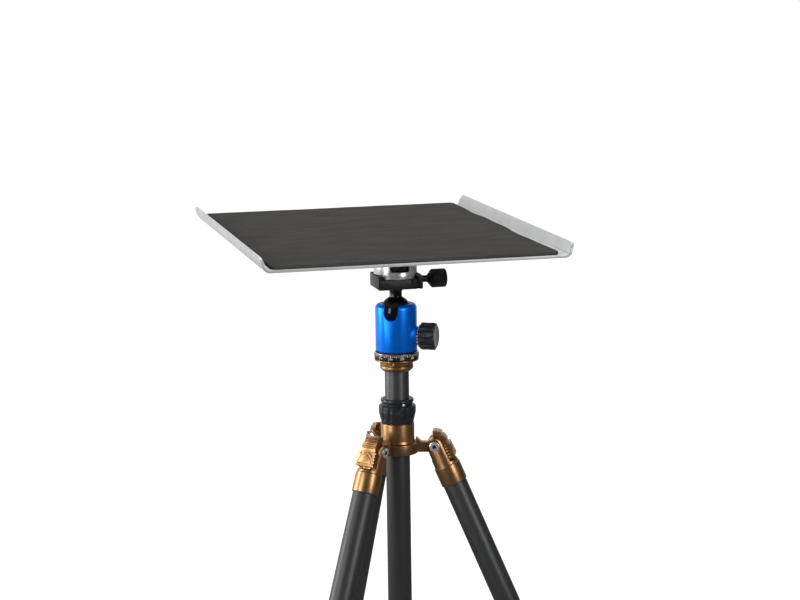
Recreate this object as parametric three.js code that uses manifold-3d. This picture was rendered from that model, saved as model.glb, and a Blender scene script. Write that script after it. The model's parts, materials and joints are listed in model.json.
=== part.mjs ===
// A tethering table: a lipped metal tray on a ball head and a three-legged stand.
// Lengths are in millimetres and angles in degrees. +Z is up, the tray's width runs along X and
// its depth along Y, with the short overhang towards -Y. The floor is at z = 0.
import * as THREE from 'three';
import { mergeVertices } from 'three/addons/utils/BufferGeometryUtils.js';
import Module from 'manifold-3d';

const wasm = await Module();
wasm.setup();

// Clearances
const seatGap = 0.3; // between fixed pieces that touch
const runGap = 0.4; // between pieces that slide or turn on each other
const overrun = 2; // how far a cut runs past the piece it cuts

// Facets round a full circle
const tubeSides = 20;
const innerTubeSides = 12;
const drumSides = 24;
const shellSides = 32;
const boreSides = 12;
const pinSides = 8;
const arcSteps = 4;
const cupSides = 32; // for the corner of a cup that is faceted both ways
const notchSides = 5;
const toothGapSides = 4;

// Tray: a bent plate with a leaning lip along each side
const trayWidth = 305;
const trayDepth = 406;
const trayThickness = 3;
const trayLipHeight = 14;
const trayLipLean = 20;
const trayBendRadius = 4;
const trayLipCornerRadius = 10;
const trayFrontOverhang = 102;

// Pad: a soft mat that lies in the tray
const padThickness = 3;
const padEndInset = 1.5;
const padLipInset = 1.5;
const padCornerRadius = 5;

// Threaded plate clinched into the tray, and the puck screwed up to it
const threadPlateRadius = 22;
const threadPlateThickness = 6;
const threadPlateSpigotRadius = 13;
const captiveScrewRadius = 4.75;
const puckRadius = 22;
const puckHeight = 20;
const puckWindowSill = 7;
const puckWindowHeight = 9;
const puckWindowWidth = 20;
const puckFootHalfWidth = 18.6;
const puckFootRim = 1.1;
const puckNeckBand = 0.4; // straight stretch between the foot's slope and the drum
const thumbwheelRadius = 17;
const thumbwheelToothDepth = 0.7;
const thumbwheelTeeth = 24;

// Quick-release clamp
const clampLength = 38;
const clampFixedReach = 22;
const clampMovingReach = 24;
const clampBaseHeight = 10.4;
const clampHeight = 14;
const clampSplit = 12.2;
const clampEdgeBevel = 1.2;
const clampNotchDepth = 2.2;
const clampGuideRadius = 1.8;
const clampGuideSpacing = 25;
const clampGuideHeight = 4.4;
const clampGuideStart = 3;
const clampScrewRadius = 2.5;
const clampScrewHeight = 7;
const clampScrewBite = 4.5;
const clampNeckRadius = 3.5;
const clampNeckLength = 11.5;
const clampKnobRadius = 9.5;
const clampKnobLength = 16.5;
const clampKnobBevel = 2;
const clampKnobTeeth = 24;
const clampKnobToothDepth = 0.6;
const clampBoltRadius = 3;
const clampBoltHeadRadius = 5.6;
const clampBoltHeadHeight = 2.8;
const clampBoltBite = 9;

// Ball and stem
const ballRadius = 16;
const ballFlat = 12.5; // from the centre down to the flat under the ball
const stemRadius = 6.4;
const stemTop = 24.3; // from the ball's centre
const stemFillet = 1;

// Head housing
const housingRadius = 21.2;
const housingHeight = 48.8;
const housingTopRound = 4.5;
const housingFootBevel = 1.2;
const ballCentreDrop = 8; // from the housing's rim to the ball's centre
const notchHalfWidth = 7.4;
const knobAzimuth = -29;
const seatRadius = 13.4;
const seatRim = 10; // from the ball's centre down to the seat's rim

// Ball lock
const lockDrop = 33; // from the housing's rim to the lock knob's axis
const lockBossRadius = 9.6;
const lockBossReach = 23.4;
const lockShaftRadius = 4;
const lockShaftTip = 12;
const lockWedgeTail = 6;
const lockFlangeRadius = 11.6;
const lockFlangeThickness = 2;
const lockCoreRadius = 9;
const lockGripRadius = 14;
const lockGripLength = 15.6;
const lockGripFlutes = 10;
const lockGripFluteDepth = 1.1;
const lockGripBevel = 1.6;
const lockCapRadius = 11.4;
const lockCapThickness = 2.4;
const lockCapProud = 0.7;

// Pan lock, on the far side of the head
const panLockAzimuth = 91;
const panLockDrop = 38.8;
const panLockBossRadius = 5.4;
const panLockBossReach = 22.4;
const panLockShaftRadius = 2.4;
const panLockShaftTip = 12.4;
const panLockKnobRadius = 7;
const panLockKnobLength = 9;
const panLockKnobFlutes = 6;
const panLockKnobBevel = 1;
const panLockKnobFluteDepth = 0.8;

// Panning base
const panRingRadius = 23;
const panRingHeight = 7.2;
const panRingBevel = 1.4;
const panRingBore = 18.4;
const panFlangeThickness = 1.6;
const panFlangeRadius = 22.6;
const panStepRadius = 16.8;
const panStepHeight = 5;
const panSlotFloor = 1.7;
const panSlots = 6;
const panSlotWidth = 3;
const panSlotDepth = 1.6;
const panPostRadius = 9.4;
const panPostRise = 5.2; // above the housing's foot
const headStudRadius = 4.75;
const headStudRise = 12; // into the panning base
const headStudDrop = 5; // into the column's top plate

// Centre column
const columnRadius = 12.4;
const columnWall = 1.5;
const columnLength = 262;
const columnRaise = 29.3;
const topPlateRadius = 17;
const topPlateHeight = 5.6;
const topPlateBevel = 2.6;
const topPlatePlug = 14;
const endCapFlange = 5;
const endCapPlug = 12;
const endCapBevel = 2;

// Column lock collar
const collarHeight = 25;
const collarRadius = 19;
const collarFootRadius = 16.4;
const collarFlangeRadius = 17;
const collarFlangeHeight = 3.4;
const collarNeckRadius = 15.6;
const collarNeckHeight = 3;
const collarFlutes = 10;
const collarFluteDepth = 1;
const collarTaperRise = 11;
const collarShoulder = 1.6;

// Hub and spider
const bushWall = 1.3;
const hubRadius = 17.2;
const hubFootRadius = 18.2;
const hubFlareHeight = 2.4;
const hubHeight = 20.2;
const hubNeckRadius = 15.4;
const hubNeckHeight = 12;
const hubSpigotRadius = 15.8;
const spiderRingRadius = 20.8;
const spiderRingTop = 2.5; // above the leg hinges
const spiderRingBottom = 8.5; // below the leg hinges
const hingeRadius = 38.5;
const armWidth = 9.5;
const armBottom = 7.2;
const armTop = 3.2;
const armRootTop = 8;
const eyeRadius = 8.3;
const armTopReach = 14.1; // the level part of the arm's top, from the hinge inwards
const sectorRadius = 11.6;
const sectorStart = -8;
const sectorEnd = 104;
const sectorNotchRadius = 1.5;

// Legs
const legAzimuths = [-19.5, 100.5, 220.5];
const legSpread = 23;
const legSpreadStops = [23, 55, 80];
const legLength = 396; // from the hinge to the foot's centre, along the leg
const legAxisOut = 2.6; // from the hinge out to the leg's own axis
const yokeRadius = 12.8;
const yokeEyeRadius = 8.6;
const yokeSlotDepth = 13;
const yokeCollarRadius = 13.8;
const yokeCollarTop = 23.5;
const yokeCollarEnd = 44;
const yokeCollarBevel = 0.8;
const yokeShoulder = 20.5;
const hingePinRadius = 3;
const hingeHeadRadius = 5.2;
const hingeHeadThickness = 1.5;
const hingeHeadDome = 0.5;
const hingeHeadProud = 0.4;

// Angle lock levers
const leverPivotOut = 5.6;
const leverPivotDown = 16.6;
const leverPinRadius = 1.3;
const leverPinLength = 17;
const leverTabWidth = 9.2;
const leverTabHeight = 6.4;
const leverRoom = 1.2; // round the tab, for its swing
const leverReach = 15.2; // from the hinge out to the lever's plate
const leverPlateHalfWidth = 11.4;
const leverPlateHeight = 15.2;
const leverPlateFoot = 18;
const leverPlateTeeth = 4;
const leverPlateToothPitch = 3.2;
const leverPlateToothDepth = 1;
const leverFaceHalfWidth = 9.6;
const leverFaceThickness = 0.7;
const leverFaceFoot = 17;
const leverFaceHeight = 13.2;
const leverFaceSide = 2; // straight stretch at the foot of its sides
const leverStripHalfWidth = 8.6;
const leverStripThickness = 1.4;
const leverRidges = 3;
const leverRidgeRadius = 0.9;
const leverRidgePitch = 10;
const leverRidgeStart = 8;
const leverTipHalfWidth = 8;
const leverTipStart = 38;
const leverTipThickness = 3.4;
const leverCurl = 76;

// Leg tubes and twist locks
const tubeWall = 1.5;
const upperTubeRadius = 12.5;
const tubeStep = 1.9; // how much each tube's radius is less than the one above
const upperTubeSeat = 19; // inside the yoke's collar
const innerTubeTop = 62; // from the hinge
const lowerTubeTop = 84;
const twistLockBite = 14; // the part of a lock that sleeves its tube
const twistLockHeight = 30;
const twistLockWall = 2.2;
const twistLockLip = 1.5;
const twistLockFlutes = 6;
const twistLockFluteDepth = 0.8;
const twistLockBevel = 1.2;
const footRadius = 11;
const footSleeve = 19.2; // from the foot's centre up to the sleeve's rim
const footTubeSeat = 10;

// Colours
const satinAluminium = new THREE.MeshStandardMaterial({ color: 0xd6dadb, roughness: 0.38, metalness: 0.85 });
const blackCloth = new THREE.MeshStandardMaterial({ color: 0x3c3b36, roughness: 0.95, metalness: 0 });
const brightSteel = new THREE.MeshStandardMaterial({ color: 0xcfd2d4, roughness: 0.22, metalness: 1 });
const blackAnodised = new THREE.MeshStandardMaterial({ color: 0x1b1b1c, roughness: 0.42, metalness: 0.7 });
const glossBlack = new THREE.MeshStandardMaterial({ color: 0x0c0c0d, roughness: 0.15, metalness: 0.6 });
const blueAnodised = new THREE.MeshStandardMaterial({ color: 0x0a55cf, roughness: 0.3, metalness: 0.8 });
const bronzeAnodised = new THREE.MeshStandardMaterial({ color: 0xa8703f, roughness: 0.34, metalness: 0.85 });
const carbonTube = new THREE.MeshStandardMaterial({ color: 0x3f4143, roughness: 0.45, metalness: 0.1 });
const blackRubber = new THREE.MeshStandardMaterial({ color: 0x1e2023, roughness: 0.8, metalness: 0 });
const greyAluminium = new THREE.MeshStandardMaterial({ color: 0x7c7c7a, roughness: 0.35, metalness: 0.8 });
const blackNylon = new THREE.MeshStandardMaterial({ color: 0x26272a, roughness: 0.6, metalness: 0 });

// Turns a closed geometry into a solid body, facing outwards
function toBody(geometry) {
  const bare = geometry.clone();
  bare.deleteAttribute('normal');
  bare.deleteAttribute('uv');
  const welded = mergeVertices(bare);
  const corners = welded.index.array;
  const kept = [];
  for (let i = 0; i < corners.length; i += 3) {
    const [a, b, c] = [corners[i], corners[i + 1], corners[i + 2]];
    if (a !== b && b !== c && c !== a) kept.push(a, b, c);
  }
  const build = (triangles) => new wasm.Manifold(new wasm.Mesh({
    numProp: 3,
    vertProperties: Float32Array.from(welded.attributes.position.array),
    triVerts: Uint32Array.from(triangles),
  }));
  const body = build(kept);
  if (body.volume() >= 0) return body;
  const flipped = [];
  for (let i = 0; i < kept.length; i += 3) flipped.push(kept[i], kept[i + 2], kept[i + 1]);
  return build(flipped);
}

function toGeometry(body) {
  const mesh = body.getMesh();
  const geometry = new THREE.BufferGeometry();
  geometry.setAttribute('position', new THREE.BufferAttribute(Float32Array.from(mesh.vertProperties), 3));
  geometry.setIndex(Array.from(mesh.triVerts));
  return geometry;
}

function join(first, ...others) {
  return toGeometry(others.reduce((body, other) => body.add(toBody(other)), toBody(first)));
}

function cut(first, ...others) {
  return toGeometry(others.reduce((body, other) => body.subtract(toBody(other)), toBody(first)));
}

function common(first, second) {
  return toGeometry(toBody(first).intersect(toBody(second)));
}

function radians(degrees) {
  return THREE.MathUtils.degToRad(degrees);
}

// A profile of [radius, height] corners turned about Z
function turned(corners, sides = drumSides) {
  const profile = corners.map(([radius, height]) => new THREE.Vector2(radius, height));
  if (corners[0][0] > 0) profile.push(profile[0].clone());
  const geometry = new THREE.LatheGeometry(profile, sides);
  geometry.rotateX(Math.PI / 2);
  return geometry;
}

function rod(radius, bottom, top, sides = drumSides) {
  return turned([[0, bottom], [radius, bottom], [radius, top], [0, top]], sides);
}

function pipe(bore, radius, bottom, top, sides = drumSides) {
  return turned([[bore, bottom], [radius, bottom], [radius, top], [bore, top]], sides);
}

function block(left, right, front, back, bottom, top) {
  const geometry = new THREE.BoxGeometry(right - left, back - front, top - bottom);
  geometry.translate((left + right) / 2, (front + back) / 2, (bottom + top) / 2);
  return geometry;
}

// A flat outline given a thickness from bottom to top
function plate(shape, bottom, top, steps = arcSteps) {
  const geometry = new THREE.ExtrudeGeometry(shape, {
    depth: top - bottom, bevelEnabled: false, curveSegments: steps,
  });
  geometry.translate(0, 0, bottom);
  return geometry;
}

// An outline drawn in X and Z and extruded along Y
function upright(shape, front, back, steps = arcSteps) {
  const geometry = plate(shape, -back, -front, steps);
  geometry.rotateX(Math.PI / 2);
  return geometry;
}

// Points along the corner of a profile, for a turned or drawn round
function arcPoints(centreX, centreY, radius, from, to, steps = arcSteps) {
  return Array.from({ length: steps + 1 }, (unused, i) => {
    const angle = radians(from + ((to - from) * i) / steps);
    return [centreX + radius * Math.cos(angle), centreY + radius * Math.sin(angle)];
  });
}

// The corner radius of a many-sided hollow whose flats stay the given radius from its axis
function roomy(radius, sides) {
  return radius / Math.cos(Math.PI / sides);
}

function outline(corners) {
  return new THREE.Shape(corners.map(([x, y]) => new THREE.Vector2(x, y)));
}

function roundedRectangle(left, right, front, back, radius) {
  return outline([
    ...arcPoints(right - radius, back - radius, radius, 0, 90),
    ...arcPoints(left + radius, back - radius, radius, 90, 180),
    ...arcPoints(left + radius, front + radius, radius, 180, 270),
    ...arcPoints(right - radius, front + radius, radius, 270, 360),
  ]);
}

// Corners of a round outline with teeth, for knurled wheels
function toothedCorners(radius, depth, teeth) {
  return Array.from({ length: teeth * 2 }, (unused, i) => {
    const angle = (Math.PI * i) / teeth;
    const reach = i % 2 === 0 ? radius : radius - depth;
    return [reach * Math.cos(angle), reach * Math.sin(angle)];
  });
}

// Corners of a round outline with shallow hollows, for moulded grips
function flutedCorners(radius, flutes, depth) {
  const landShares = [-0.28, 0, 0.28];
  const hollowShares = [0.42, 0.58];
  const corners = [];
  for (let i = 0; i < flutes; i += 1) {
    landShares.forEach((share) => {
      const angle = (2 * Math.PI * (i + share)) / flutes;
      corners.push([radius * Math.cos(angle), radius * Math.sin(angle)]);
    });
    hollowShares.forEach((share) => {
      const angle = (2 * Math.PI * (i + share)) / flutes;
      const reach = radius - depth;
      corners.push([reach * Math.cos(angle), reach * Math.sin(angle)]);
    });
  }
  return corners;
}

// A body of stacked rings: one star-shaped outline, drawn in by each row's inset at its height
function stacked(corners, rows) {
  const places = [];
  rows.forEach(([height, inset]) => {
    corners.forEach(([x, y]) => {
      const share = 1 - inset / Math.hypot(x, y);
      places.push(x * share, y * share, height);
    });
  });
  const count = corners.length;
  const bottomCentre = count * rows.length;
  places.push(0, 0, rows[0][0], 0, 0, rows[rows.length - 1][0]);
  const triangles = [];
  const lastRow = count * (rows.length - 1);
  for (let i = 0; i < count; i += 1) {
    const next = (i + 1) % count;
    triangles.push(bottomCentre, next, i, bottomCentre + 1, lastRow + i, lastRow + next);
    for (let row = 0; row < lastRow; row += count) {
      triangles.push(row + i, row + next, row + count + i);
      triangles.push(row + next, row + count + next, row + count + i);
    }
  }
  const geometry = new THREE.BufferGeometry();
  geometry.setAttribute('position', new THREE.Float32BufferAttribute(places, 3));
  geometry.setIndex(triangles);
  return geometry;
}

// Turns a geometry built along +Z so that it points along +X
function alongX(geometry) {
  geometry.rotateY(Math.PI / 2);
  return geometry;
}

function alongY(geometry) {
  geometry.rotateX(-Math.PI / 2);
  return geometry;
}

function piece(name, geometry, material) {
  const surface = toGeometry(toBody(geometry));
  surface.computeVertexNormals();
  const mesh = new THREE.Mesh(surface, material);
  mesh.name = name;
  return mesh;
}

// Heights of the stack, from the floor up
const hingeHeight = footRadius + legLength * Math.cos(radians(legSpread))
  - legAxisOut * Math.sin(radians(legSpread));
const hubFloor = hingeHeight + spiderRingTop + seatGap;
const hubTop = hubFloor + hubHeight;
const collarFloor = hubTop + runGap;
const collarTop = collarFloor + collarHeight;
const columnTop = collarTop + columnRaise;
const panBaseFloor = columnTop + topPlateHeight + seatGap;
const panFlangeTop = panBaseFloor + panStepHeight + panFlangeThickness;
const panRingFloor = panFlangeTop + seatGap;
const housingFloor = panRingFloor + panRingHeight + runGap;
const housingTop = housingFloor + housingHeight;
const ballHeight = housingTop - ballCentreDrop;
const clampFloor = ballHeight + stemTop + seatGap;
const puckFloor = clampFloor + clampBaseHeight + seatGap;
const threadPlateFloor = puckFloor + puckHeight + seatGap;
const trayFloor = threadPlateFloor + threadPlateThickness + seatGap;

// Tray, pad and mount
function trayShell() {
  const turn = 90 - trayLipLean;
  const outerRadius = trayBendRadius + trayThickness;
  const bendX = trayWidth / 2 - outerRadius * Math.tan(radians(turn / 2));
  const lean = radians(trayLipLean);
  const outerBend = arcPoints(bendX, outerRadius, outerRadius, -90, -90 + turn);
  const innerBend = arcPoints(bendX, outerRadius, trayBendRadius, -90 + turn, -90);
  const [rootX, rootZ] = outerBend[outerBend.length - 1];
  const rise = trayLipHeight - rootZ;
  const tipOuter = [rootX + rise * Math.tan(lean), trayLipHeight];
  const tipInner = [tipOuter[0] - trayThickness * Math.cos(lean), tipOuter[1] + trayThickness * Math.sin(lean)];
  const right = [...outerBend, tipOuter, tipInner, ...innerBend];
  const left = right.map(([x, z]) => [-x, z]).reverse();
  const shell = upright(outline([...right, ...left]), -trayFrontOverhang, trayDepth - trayFrontOverhang);
  const reach = trayWidth;
  const lipTop = tipInner[1];
  const side = outline([
    [-trayFrontOverhang, -overrun],
    [trayDepth - trayFrontOverhang, -overrun],
    ...arcPoints(trayDepth - trayFrontOverhang - trayLipCornerRadius, lipTop - trayLipCornerRadius,
      trayLipCornerRadius, 0, 90),
    ...arcPoints(-trayFrontOverhang + trayLipCornerRadius, lipTop - trayLipCornerRadius,
      trayLipCornerRadius, 90, 180),
  ]);
  const sideBlock = plate(side, -reach, reach);
  sideBlock.rotateX(Math.PI / 2);
  sideBlock.rotateZ(Math.PI / 2);
  const hole = rod(threadPlateSpigotRadius + seatGap, -overrun, trayThickness + overrun);
  return cut(common(shell, sideBlock), hole);
}

function padSheet() {
  const bendX = trayWidth / 2 - (trayBendRadius + trayThickness) * Math.tan(radians((90 - trayLipLean) / 2));
  const halfWidth = bendX - padLipInset;
  const front = -trayFrontOverhang + padEndInset;
  const back = trayDepth - trayFrontOverhang - padEndInset;
  const bottom = trayThickness + seatGap;
  return plate(roundedRectangle(-halfWidth, halfWidth, front, back, padCornerRadius), bottom, bottom + padThickness);
}

function threadPlate() {
  const spigotTop = threadPlateThickness + seatGap + trayThickness;
  return turned([
    [captiveScrewRadius + runGap, 0],
    [threadPlateRadius, 0],
    [threadPlateRadius, threadPlateThickness],
    [threadPlateSpigotRadius, threadPlateThickness],
    [threadPlateSpigotRadius, spigotTop],
    [captiveScrewRadius + runGap, spigotTop],
  ]);
}

// The foot's section, from the channel floor up, on one side of the clamp
const puckShoulder = clampHeight - clampBaseHeight;
const puckNeckRise = puckShoulder - puckNeckBand;
const puckNeckHalfWidth = puckFootHalfWidth - (puckNeckRise - puckFootRim);

function footSide(growth) {
  return [
    [puckFootHalfWidth + growth, 0],
    [puckFootHalfWidth + growth, puckFootRim],
    [puckNeckHalfWidth + growth, puckNeckRise],
  ];
}

function puckBody() {
  const drum = rod(puckRadius, 0, puckHeight);
  const side = footSide(0);
  const neckTop = puckShoulder + seatGap;
  const reach = puckRadius + overrun;
  const flank = outline([
    [side[0][0], -overrun],
    ...side,
    [puckNeckHalfWidth, neckTop],
    [reach, neckTop],
    [reach, -overrun],
  ]);
  const rightFlank = upright(flank, -reach, reach);
  const leftFlank = rightFlank.clone();
  leftFlank.rotateZ(Math.PI);
  const sill = puckWindowSill;
  const lintel = sill + puckWindowHeight;
  const chamber = rod(thumbwheelRadius + runGap, sill, lintel);
  const window = block(-puckWindowWidth / 2, puckWindowWidth / 2, -reach, reach, sill, lintel);
  const screwWay = rod(captiveScrewRadius + runGap, lintel - overrun, puckHeight + overrun, boreSides);
  return cut(drum, rightFlank, leftFlank, chamber, window, screwWay);
}

function thumbwheel() {
  const bottom = puckWindowSill + runGap;
  const top = puckWindowSill + puckWindowHeight - runGap;
  const teeth = toothedCorners(thumbwheelRadius, thumbwheelToothDepth, thumbwheelTeeth);
  const wheel = stacked(teeth, [[bottom, 0], [top, 0]]);
  const screwTop = puckHeight + seatGap + threadPlateThickness + seatGap + trayThickness;
  return join(wheel, rod(captiveScrewRadius, top - runGap, screwTop, boreSides));
}

// Quick-release clamp, drawn from its own floor
function channelSide(growth) {
  return footSide(growth).map(([x, z]) => [x, z + clampBaseHeight]);
}

function clampBody() {
  const [floorEdge, rimEdge, neckEdge] = channelSide(seatGap).map(([x, z]) => [-x, z]);
  const section = outline([
    [-clampFixedReach + clampEdgeBevel, 0],
    [clampSplit, 0],
    [clampSplit, clampBaseHeight],
    floorEdge,
    rimEdge,
    neckEdge,
    [neckEdge[0], clampHeight],
    [-clampFixedReach + clampEdgeBevel, clampHeight],
    [-clampFixedReach, clampHeight - clampEdgeBevel],
    [-clampFixedReach, clampEdgeBevel],
  ]);
  const bodyBlock = upright(section, -clampLength / 2, clampLength / 2);
  const boltHole = turned([
    [0, -overrun],
    [clampBoltRadius + seatGap, -overrun],
    [clampBoltRadius + seatGap, clampBaseHeight - clampBoltHeadHeight - seatGap],
    [clampBoltHeadRadius + seatGap, clampBaseHeight],
    [clampBoltHeadRadius + seatGap, clampBaseHeight + overrun],
    [0, clampBaseHeight + overrun],
  ], boreSides);
  const holes = [-1, 1].map((side) => {
    const hole = alongX(rod(clampGuideRadius + seatGap, clampGuideStart - seatGap, clampSplit + overrun, pinSides));
    hole.translate(0, (side * clampGuideSpacing) / 2, clampGuideHeight);
    return hole;
  });
  const screwHole = alongX(rod(clampScrewRadius + runGap, clampSplit - clampScrewBite - runGap,
    clampSplit + overrun, pinSides));
  screwHole.translate(0, 0, clampScrewHeight);
  return cut(bodyBlock, boltHole, ...holes, screwHole);
}

function clampJaw() {
  const left = clampSplit + runGap;
  const [floorEdge, rimEdge, neckEdge] = channelSide(seatGap);
  const notchX = (floorEdge[0] + clampMovingReach) / 2 - clampNotchDepth;
  const section = outline([
    [left, 0],
    [notchX - clampNotchDepth, 0],
    [notchX, clampNotchDepth],
    [notchX + clampNotchDepth, 0],
    [clampMovingReach - clampEdgeBevel, 0],
    [clampMovingReach, clampEdgeBevel],
    [clampMovingReach, clampHeight - clampEdgeBevel],
    [clampMovingReach - clampEdgeBevel, clampHeight],
    [neckEdge[0], clampHeight],
    neckEdge,
    rimEdge,
    floorEdge,
    [left, clampBaseHeight],
  ]);
  const jaw = upright(section, -clampLength / 2, clampLength / 2);
  const holes = [-1, 1].map((side) => {
    const hole = alongX(rod(clampGuideRadius + runGap, left - overrun, clampMovingReach - clampEdgeBevel, pinSides));
    hole.translate(0, (side * clampGuideSpacing) / 2, clampGuideHeight);
    return hole;
  });
  const screwHole = alongX(rod(clampScrewRadius + runGap, left - overrun, clampMovingReach + overrun, pinSides));
  screwHole.translate(0, 0, clampScrewHeight);
  return cut(jaw, ...holes, screwHole);
}

function clampGuide() {
  return alongX(rod(clampGuideRadius, clampGuideStart, clampMovingReach - clampEdgeBevel - runGap, pinSides));
}

function clampBolt() {
  const headTop = clampBaseHeight - seatGap;
  const headFoot = headTop - clampBoltHeadHeight;
  const bolt = turned([
    [0, -clampBoltBite],
    [clampBoltRadius, -clampBoltBite],
    [clampBoltRadius, headFoot],
    [clampBoltHeadRadius, headTop],
    [0, headTop],
  ], boreSides);
  const socket = stacked(toothedCorners(clampBoltRadius, 0, 3), [[headFoot, 0], [headTop + overrun, 0]]);
  return cut(bolt, socket);
}

// The knob lies along X from the jaw's face, with its screw reaching back into the body
function clampKnob() {
  const tip = clampSplit - clampScrewBite;
  const neckStart = clampMovingReach + runGap;
  const knobStart = neckStart + clampNeckLength;
  const knobEnd = knobStart + clampKnobLength;
  const screw = rod(clampScrewRadius, tip, neckStart + clampNeckLength / 2, pinSides);
  const neck = rod(clampNeckRadius, neckStart, knobStart + clampKnobBevel, boreSides);
  const teeth = toothedCorners(clampKnobRadius, clampKnobToothDepth, clampKnobTeeth);
  const grip = stacked(teeth, [
    [knobStart, clampKnobBevel],
    [knobStart + clampKnobBevel, 0],
    [knobEnd - clampKnobBevel / 2, 0],
    [knobEnd, clampKnobBevel / 2],
  ]);
  return alongX(join(screw, neck, grip));
}

// Ball and stem, drawn from the ball's centre
function ballBody() {
  const stemMeet = Math.sqrt(ballRadius ** 2 - (stemRadius + stemFillet) ** 2);
  const stemAngle = THREE.MathUtils.radToDeg(Math.asin(stemMeet / ballRadius));
  const flatAngle = THREE.MathUtils.radToDeg(Math.asin(ballFlat / ballRadius));
  const boltBore = clampBoltRadius + seatGap;
  const boreFoot = stemTop - clampBoltBite;
  const body = turned([
    [0, -ballFlat],
    ...arcPoints(0, 0, ballRadius, -flatAngle, stemAngle, arcSteps * 2),
    [stemRadius, stemMeet + stemFillet],
    [stemRadius, stemTop],
    [0, stemTop],
  ]);
  return cut(body, rod(boltBore, boreFoot, stemTop + overrun, boreSides));
}

// Head housing, drawn from its own foot, with the lock knob's axis along X
const ballUp = housingHeight - ballCentreDrop;
const lockUp = housingHeight - lockDrop;
const panLockUp = housingHeight - panLockDrop;
const seatFloor = lockUp + lockShaftRadius + seatGap;

const cupRadius = roomy(roomy(ballRadius + runGap, tubeSides), cupSides);

function housingShell() {
  const skin = turned([
    [0, 0],
    [housingRadius - housingFootBevel, 0],
    [housingRadius, housingFootBevel],
    ...arcPoints(housingRadius - housingTopRound, housingHeight - housingTopRound, housingTopRound, 0, 90),
    [0, housingHeight],
  ], shellSides);
  const lockBoss = alongX(rod(lockBossRadius, housingRadius / 2, lockBossReach));
  lockBoss.translate(0, 0, lockUp);
  const panBoss = alongX(rod(panLockBossRadius, housingRadius / 2, panLockBossReach, boreSides));
  panBoss.translate(0, 0, panLockUp);
  panBoss.rotateZ(radians(panLockAzimuth - knobAzimuth));
  const cavity = turned([
    [0, -cupRadius],
    ...arcPoints(0, 0, cupRadius, -90, 90, arcSteps * 2).slice(1, -1),
    [0, cupRadius],
  ], tubeSides);
  cavity.translate(0, 0, ballUp);
  const seatBore = rod(seatRadius + seatGap, seatFloor - seatGap, ballUp - seatRim + overrun);
  const notch = upright(outline([
    ...arcPoints(0, 0, notchHalfWidth, 180, 360),
    [notchHalfWidth, ballCentreDrop + overrun],
    [-notchHalfWidth, ballCentreDrop + overrun],
  ]), -housingRadius - overrun, 0);
  notch.translate(0, 0, ballUp);
  const lockBore = alongX(rod(lockShaftRadius + runGap, -lockWedgeTail - runGap, lockBossReach + overrun, boreSides));
  lockBore.translate(0, 0, lockUp);
  const panBore = alongX(rod(panLockShaftRadius + runGap, panLockShaftTip - runGap, panLockBossReach + overrun,
    pinSides));
  panBore.translate(0, 0, panLockUp);
  panBore.rotateZ(radians(panLockAzimuth - knobAzimuth));
  const postBore = rod(panPostRadius + runGap, -overrun, panPostRise + runGap);
  return cut(join(skin, lockBoss, panBoss), cavity, seatBore, notch, lockBore, panBore, postBore);
}

function ballSeat() {
  const rim = Math.max(seatRim, Math.sqrt(Math.max(cupRadius ** 2 - seatRadius ** 2, 0)));
  const lip = seatRadius - Math.sqrt(Math.max(cupRadius ** 2 - rim ** 2, 0));
  const cup = turned([
    [0, seatFloor],
    [seatRadius, seatFloor],
    [seatRadius, ballUp - rim],
    [seatRadius - lip, ballUp - rim],
    [0, ballUp - rim],
  ], tubeSides);
  const ballSpace = turned([
    [0, -cupRadius],
    ...arcPoints(0, 0, cupRadius, -90, 0, arcSteps).slice(1),
    [0, 0],
  ], tubeSides);
  ballSpace.translate(0, 0, ballUp);
  return cut(cup, ballSpace);
}

function lockWedge() {
  const nose = lockShaftRadius / 2;
  const tip = lockShaftTip - seatGap;
  const wedge = alongX(turned([
    [0, -lockWedgeTail],
    [nose, -lockWedgeTail],
    [lockShaftRadius, -lockWedgeTail + nose],
    [lockShaftRadius, tip],
    [0, tip],
  ], boreSides));
  wedge.translate(0, 0, lockUp);
  return wedge;
}

// Lock knob, drawn along +X from the head's axis
const lockFlangeStart = lockBossReach + runGap;
const lockGripStart = lockFlangeStart + lockFlangeThickness + seatGap;
const lockGripEnd = lockGripStart + lockGripLength;

function lockKnob() {
  return alongX(turned([
    [0, lockShaftTip],
    [lockShaftRadius, lockShaftTip],
    [lockShaftRadius, lockFlangeStart],
    [lockFlangeRadius, lockFlangeStart],
    [lockFlangeRadius, lockFlangeStart + lockFlangeThickness],
    [lockCoreRadius, lockFlangeStart + lockFlangeThickness],
    [lockCoreRadius, lockGripEnd - lockCapThickness],
    [0, lockGripEnd - lockCapThickness],
  ]));
}

function lockGrip() {
  const skin = stacked(flutedCorners(lockGripRadius, lockGripFlutes, lockGripFluteDepth), [
    [lockGripStart, lockGripBevel],
    [lockGripStart + lockGripBevel, 0],
    [lockGripEnd - lockGripBevel, 0],
    [lockGripEnd, lockGripBevel],
  ]);
  const bore = rod(lockCoreRadius + seatGap, lockGripStart - overrun, lockGripEnd);
  const capPocket = rod(lockCapRadius + seatGap, lockGripEnd - lockCapThickness, lockGripEnd + overrun);
  return alongX(cut(skin, bore, capPocket));
}

function lockCap() {
  const floor = lockGripEnd - lockCapThickness + seatGap;
  const top = lockGripEnd + lockCapProud;
  return alongX(turned([
    [0, floor],
    [lockCapRadius, floor],
    [lockCapRadius, top - lockCapProud / 2],
    [lockCapRadius - lockCapProud / 2, top],
    [0, top],
  ]));
}

function panLockKnob() {
  const start = panLockBossReach + runGap;
  const end = start + panLockKnobLength;
  const grip = stacked(flutedCorners(panLockKnobRadius, panLockKnobFlutes, panLockKnobFluteDepth), [
    [start, 0],
    [end - panLockKnobBevel, 0],
    [end, panLockKnobBevel],
  ]);
  return alongX(join(grip, rod(panLockShaftRadius, panLockShaftTip, start + overrun, pinSides)));
}

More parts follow.
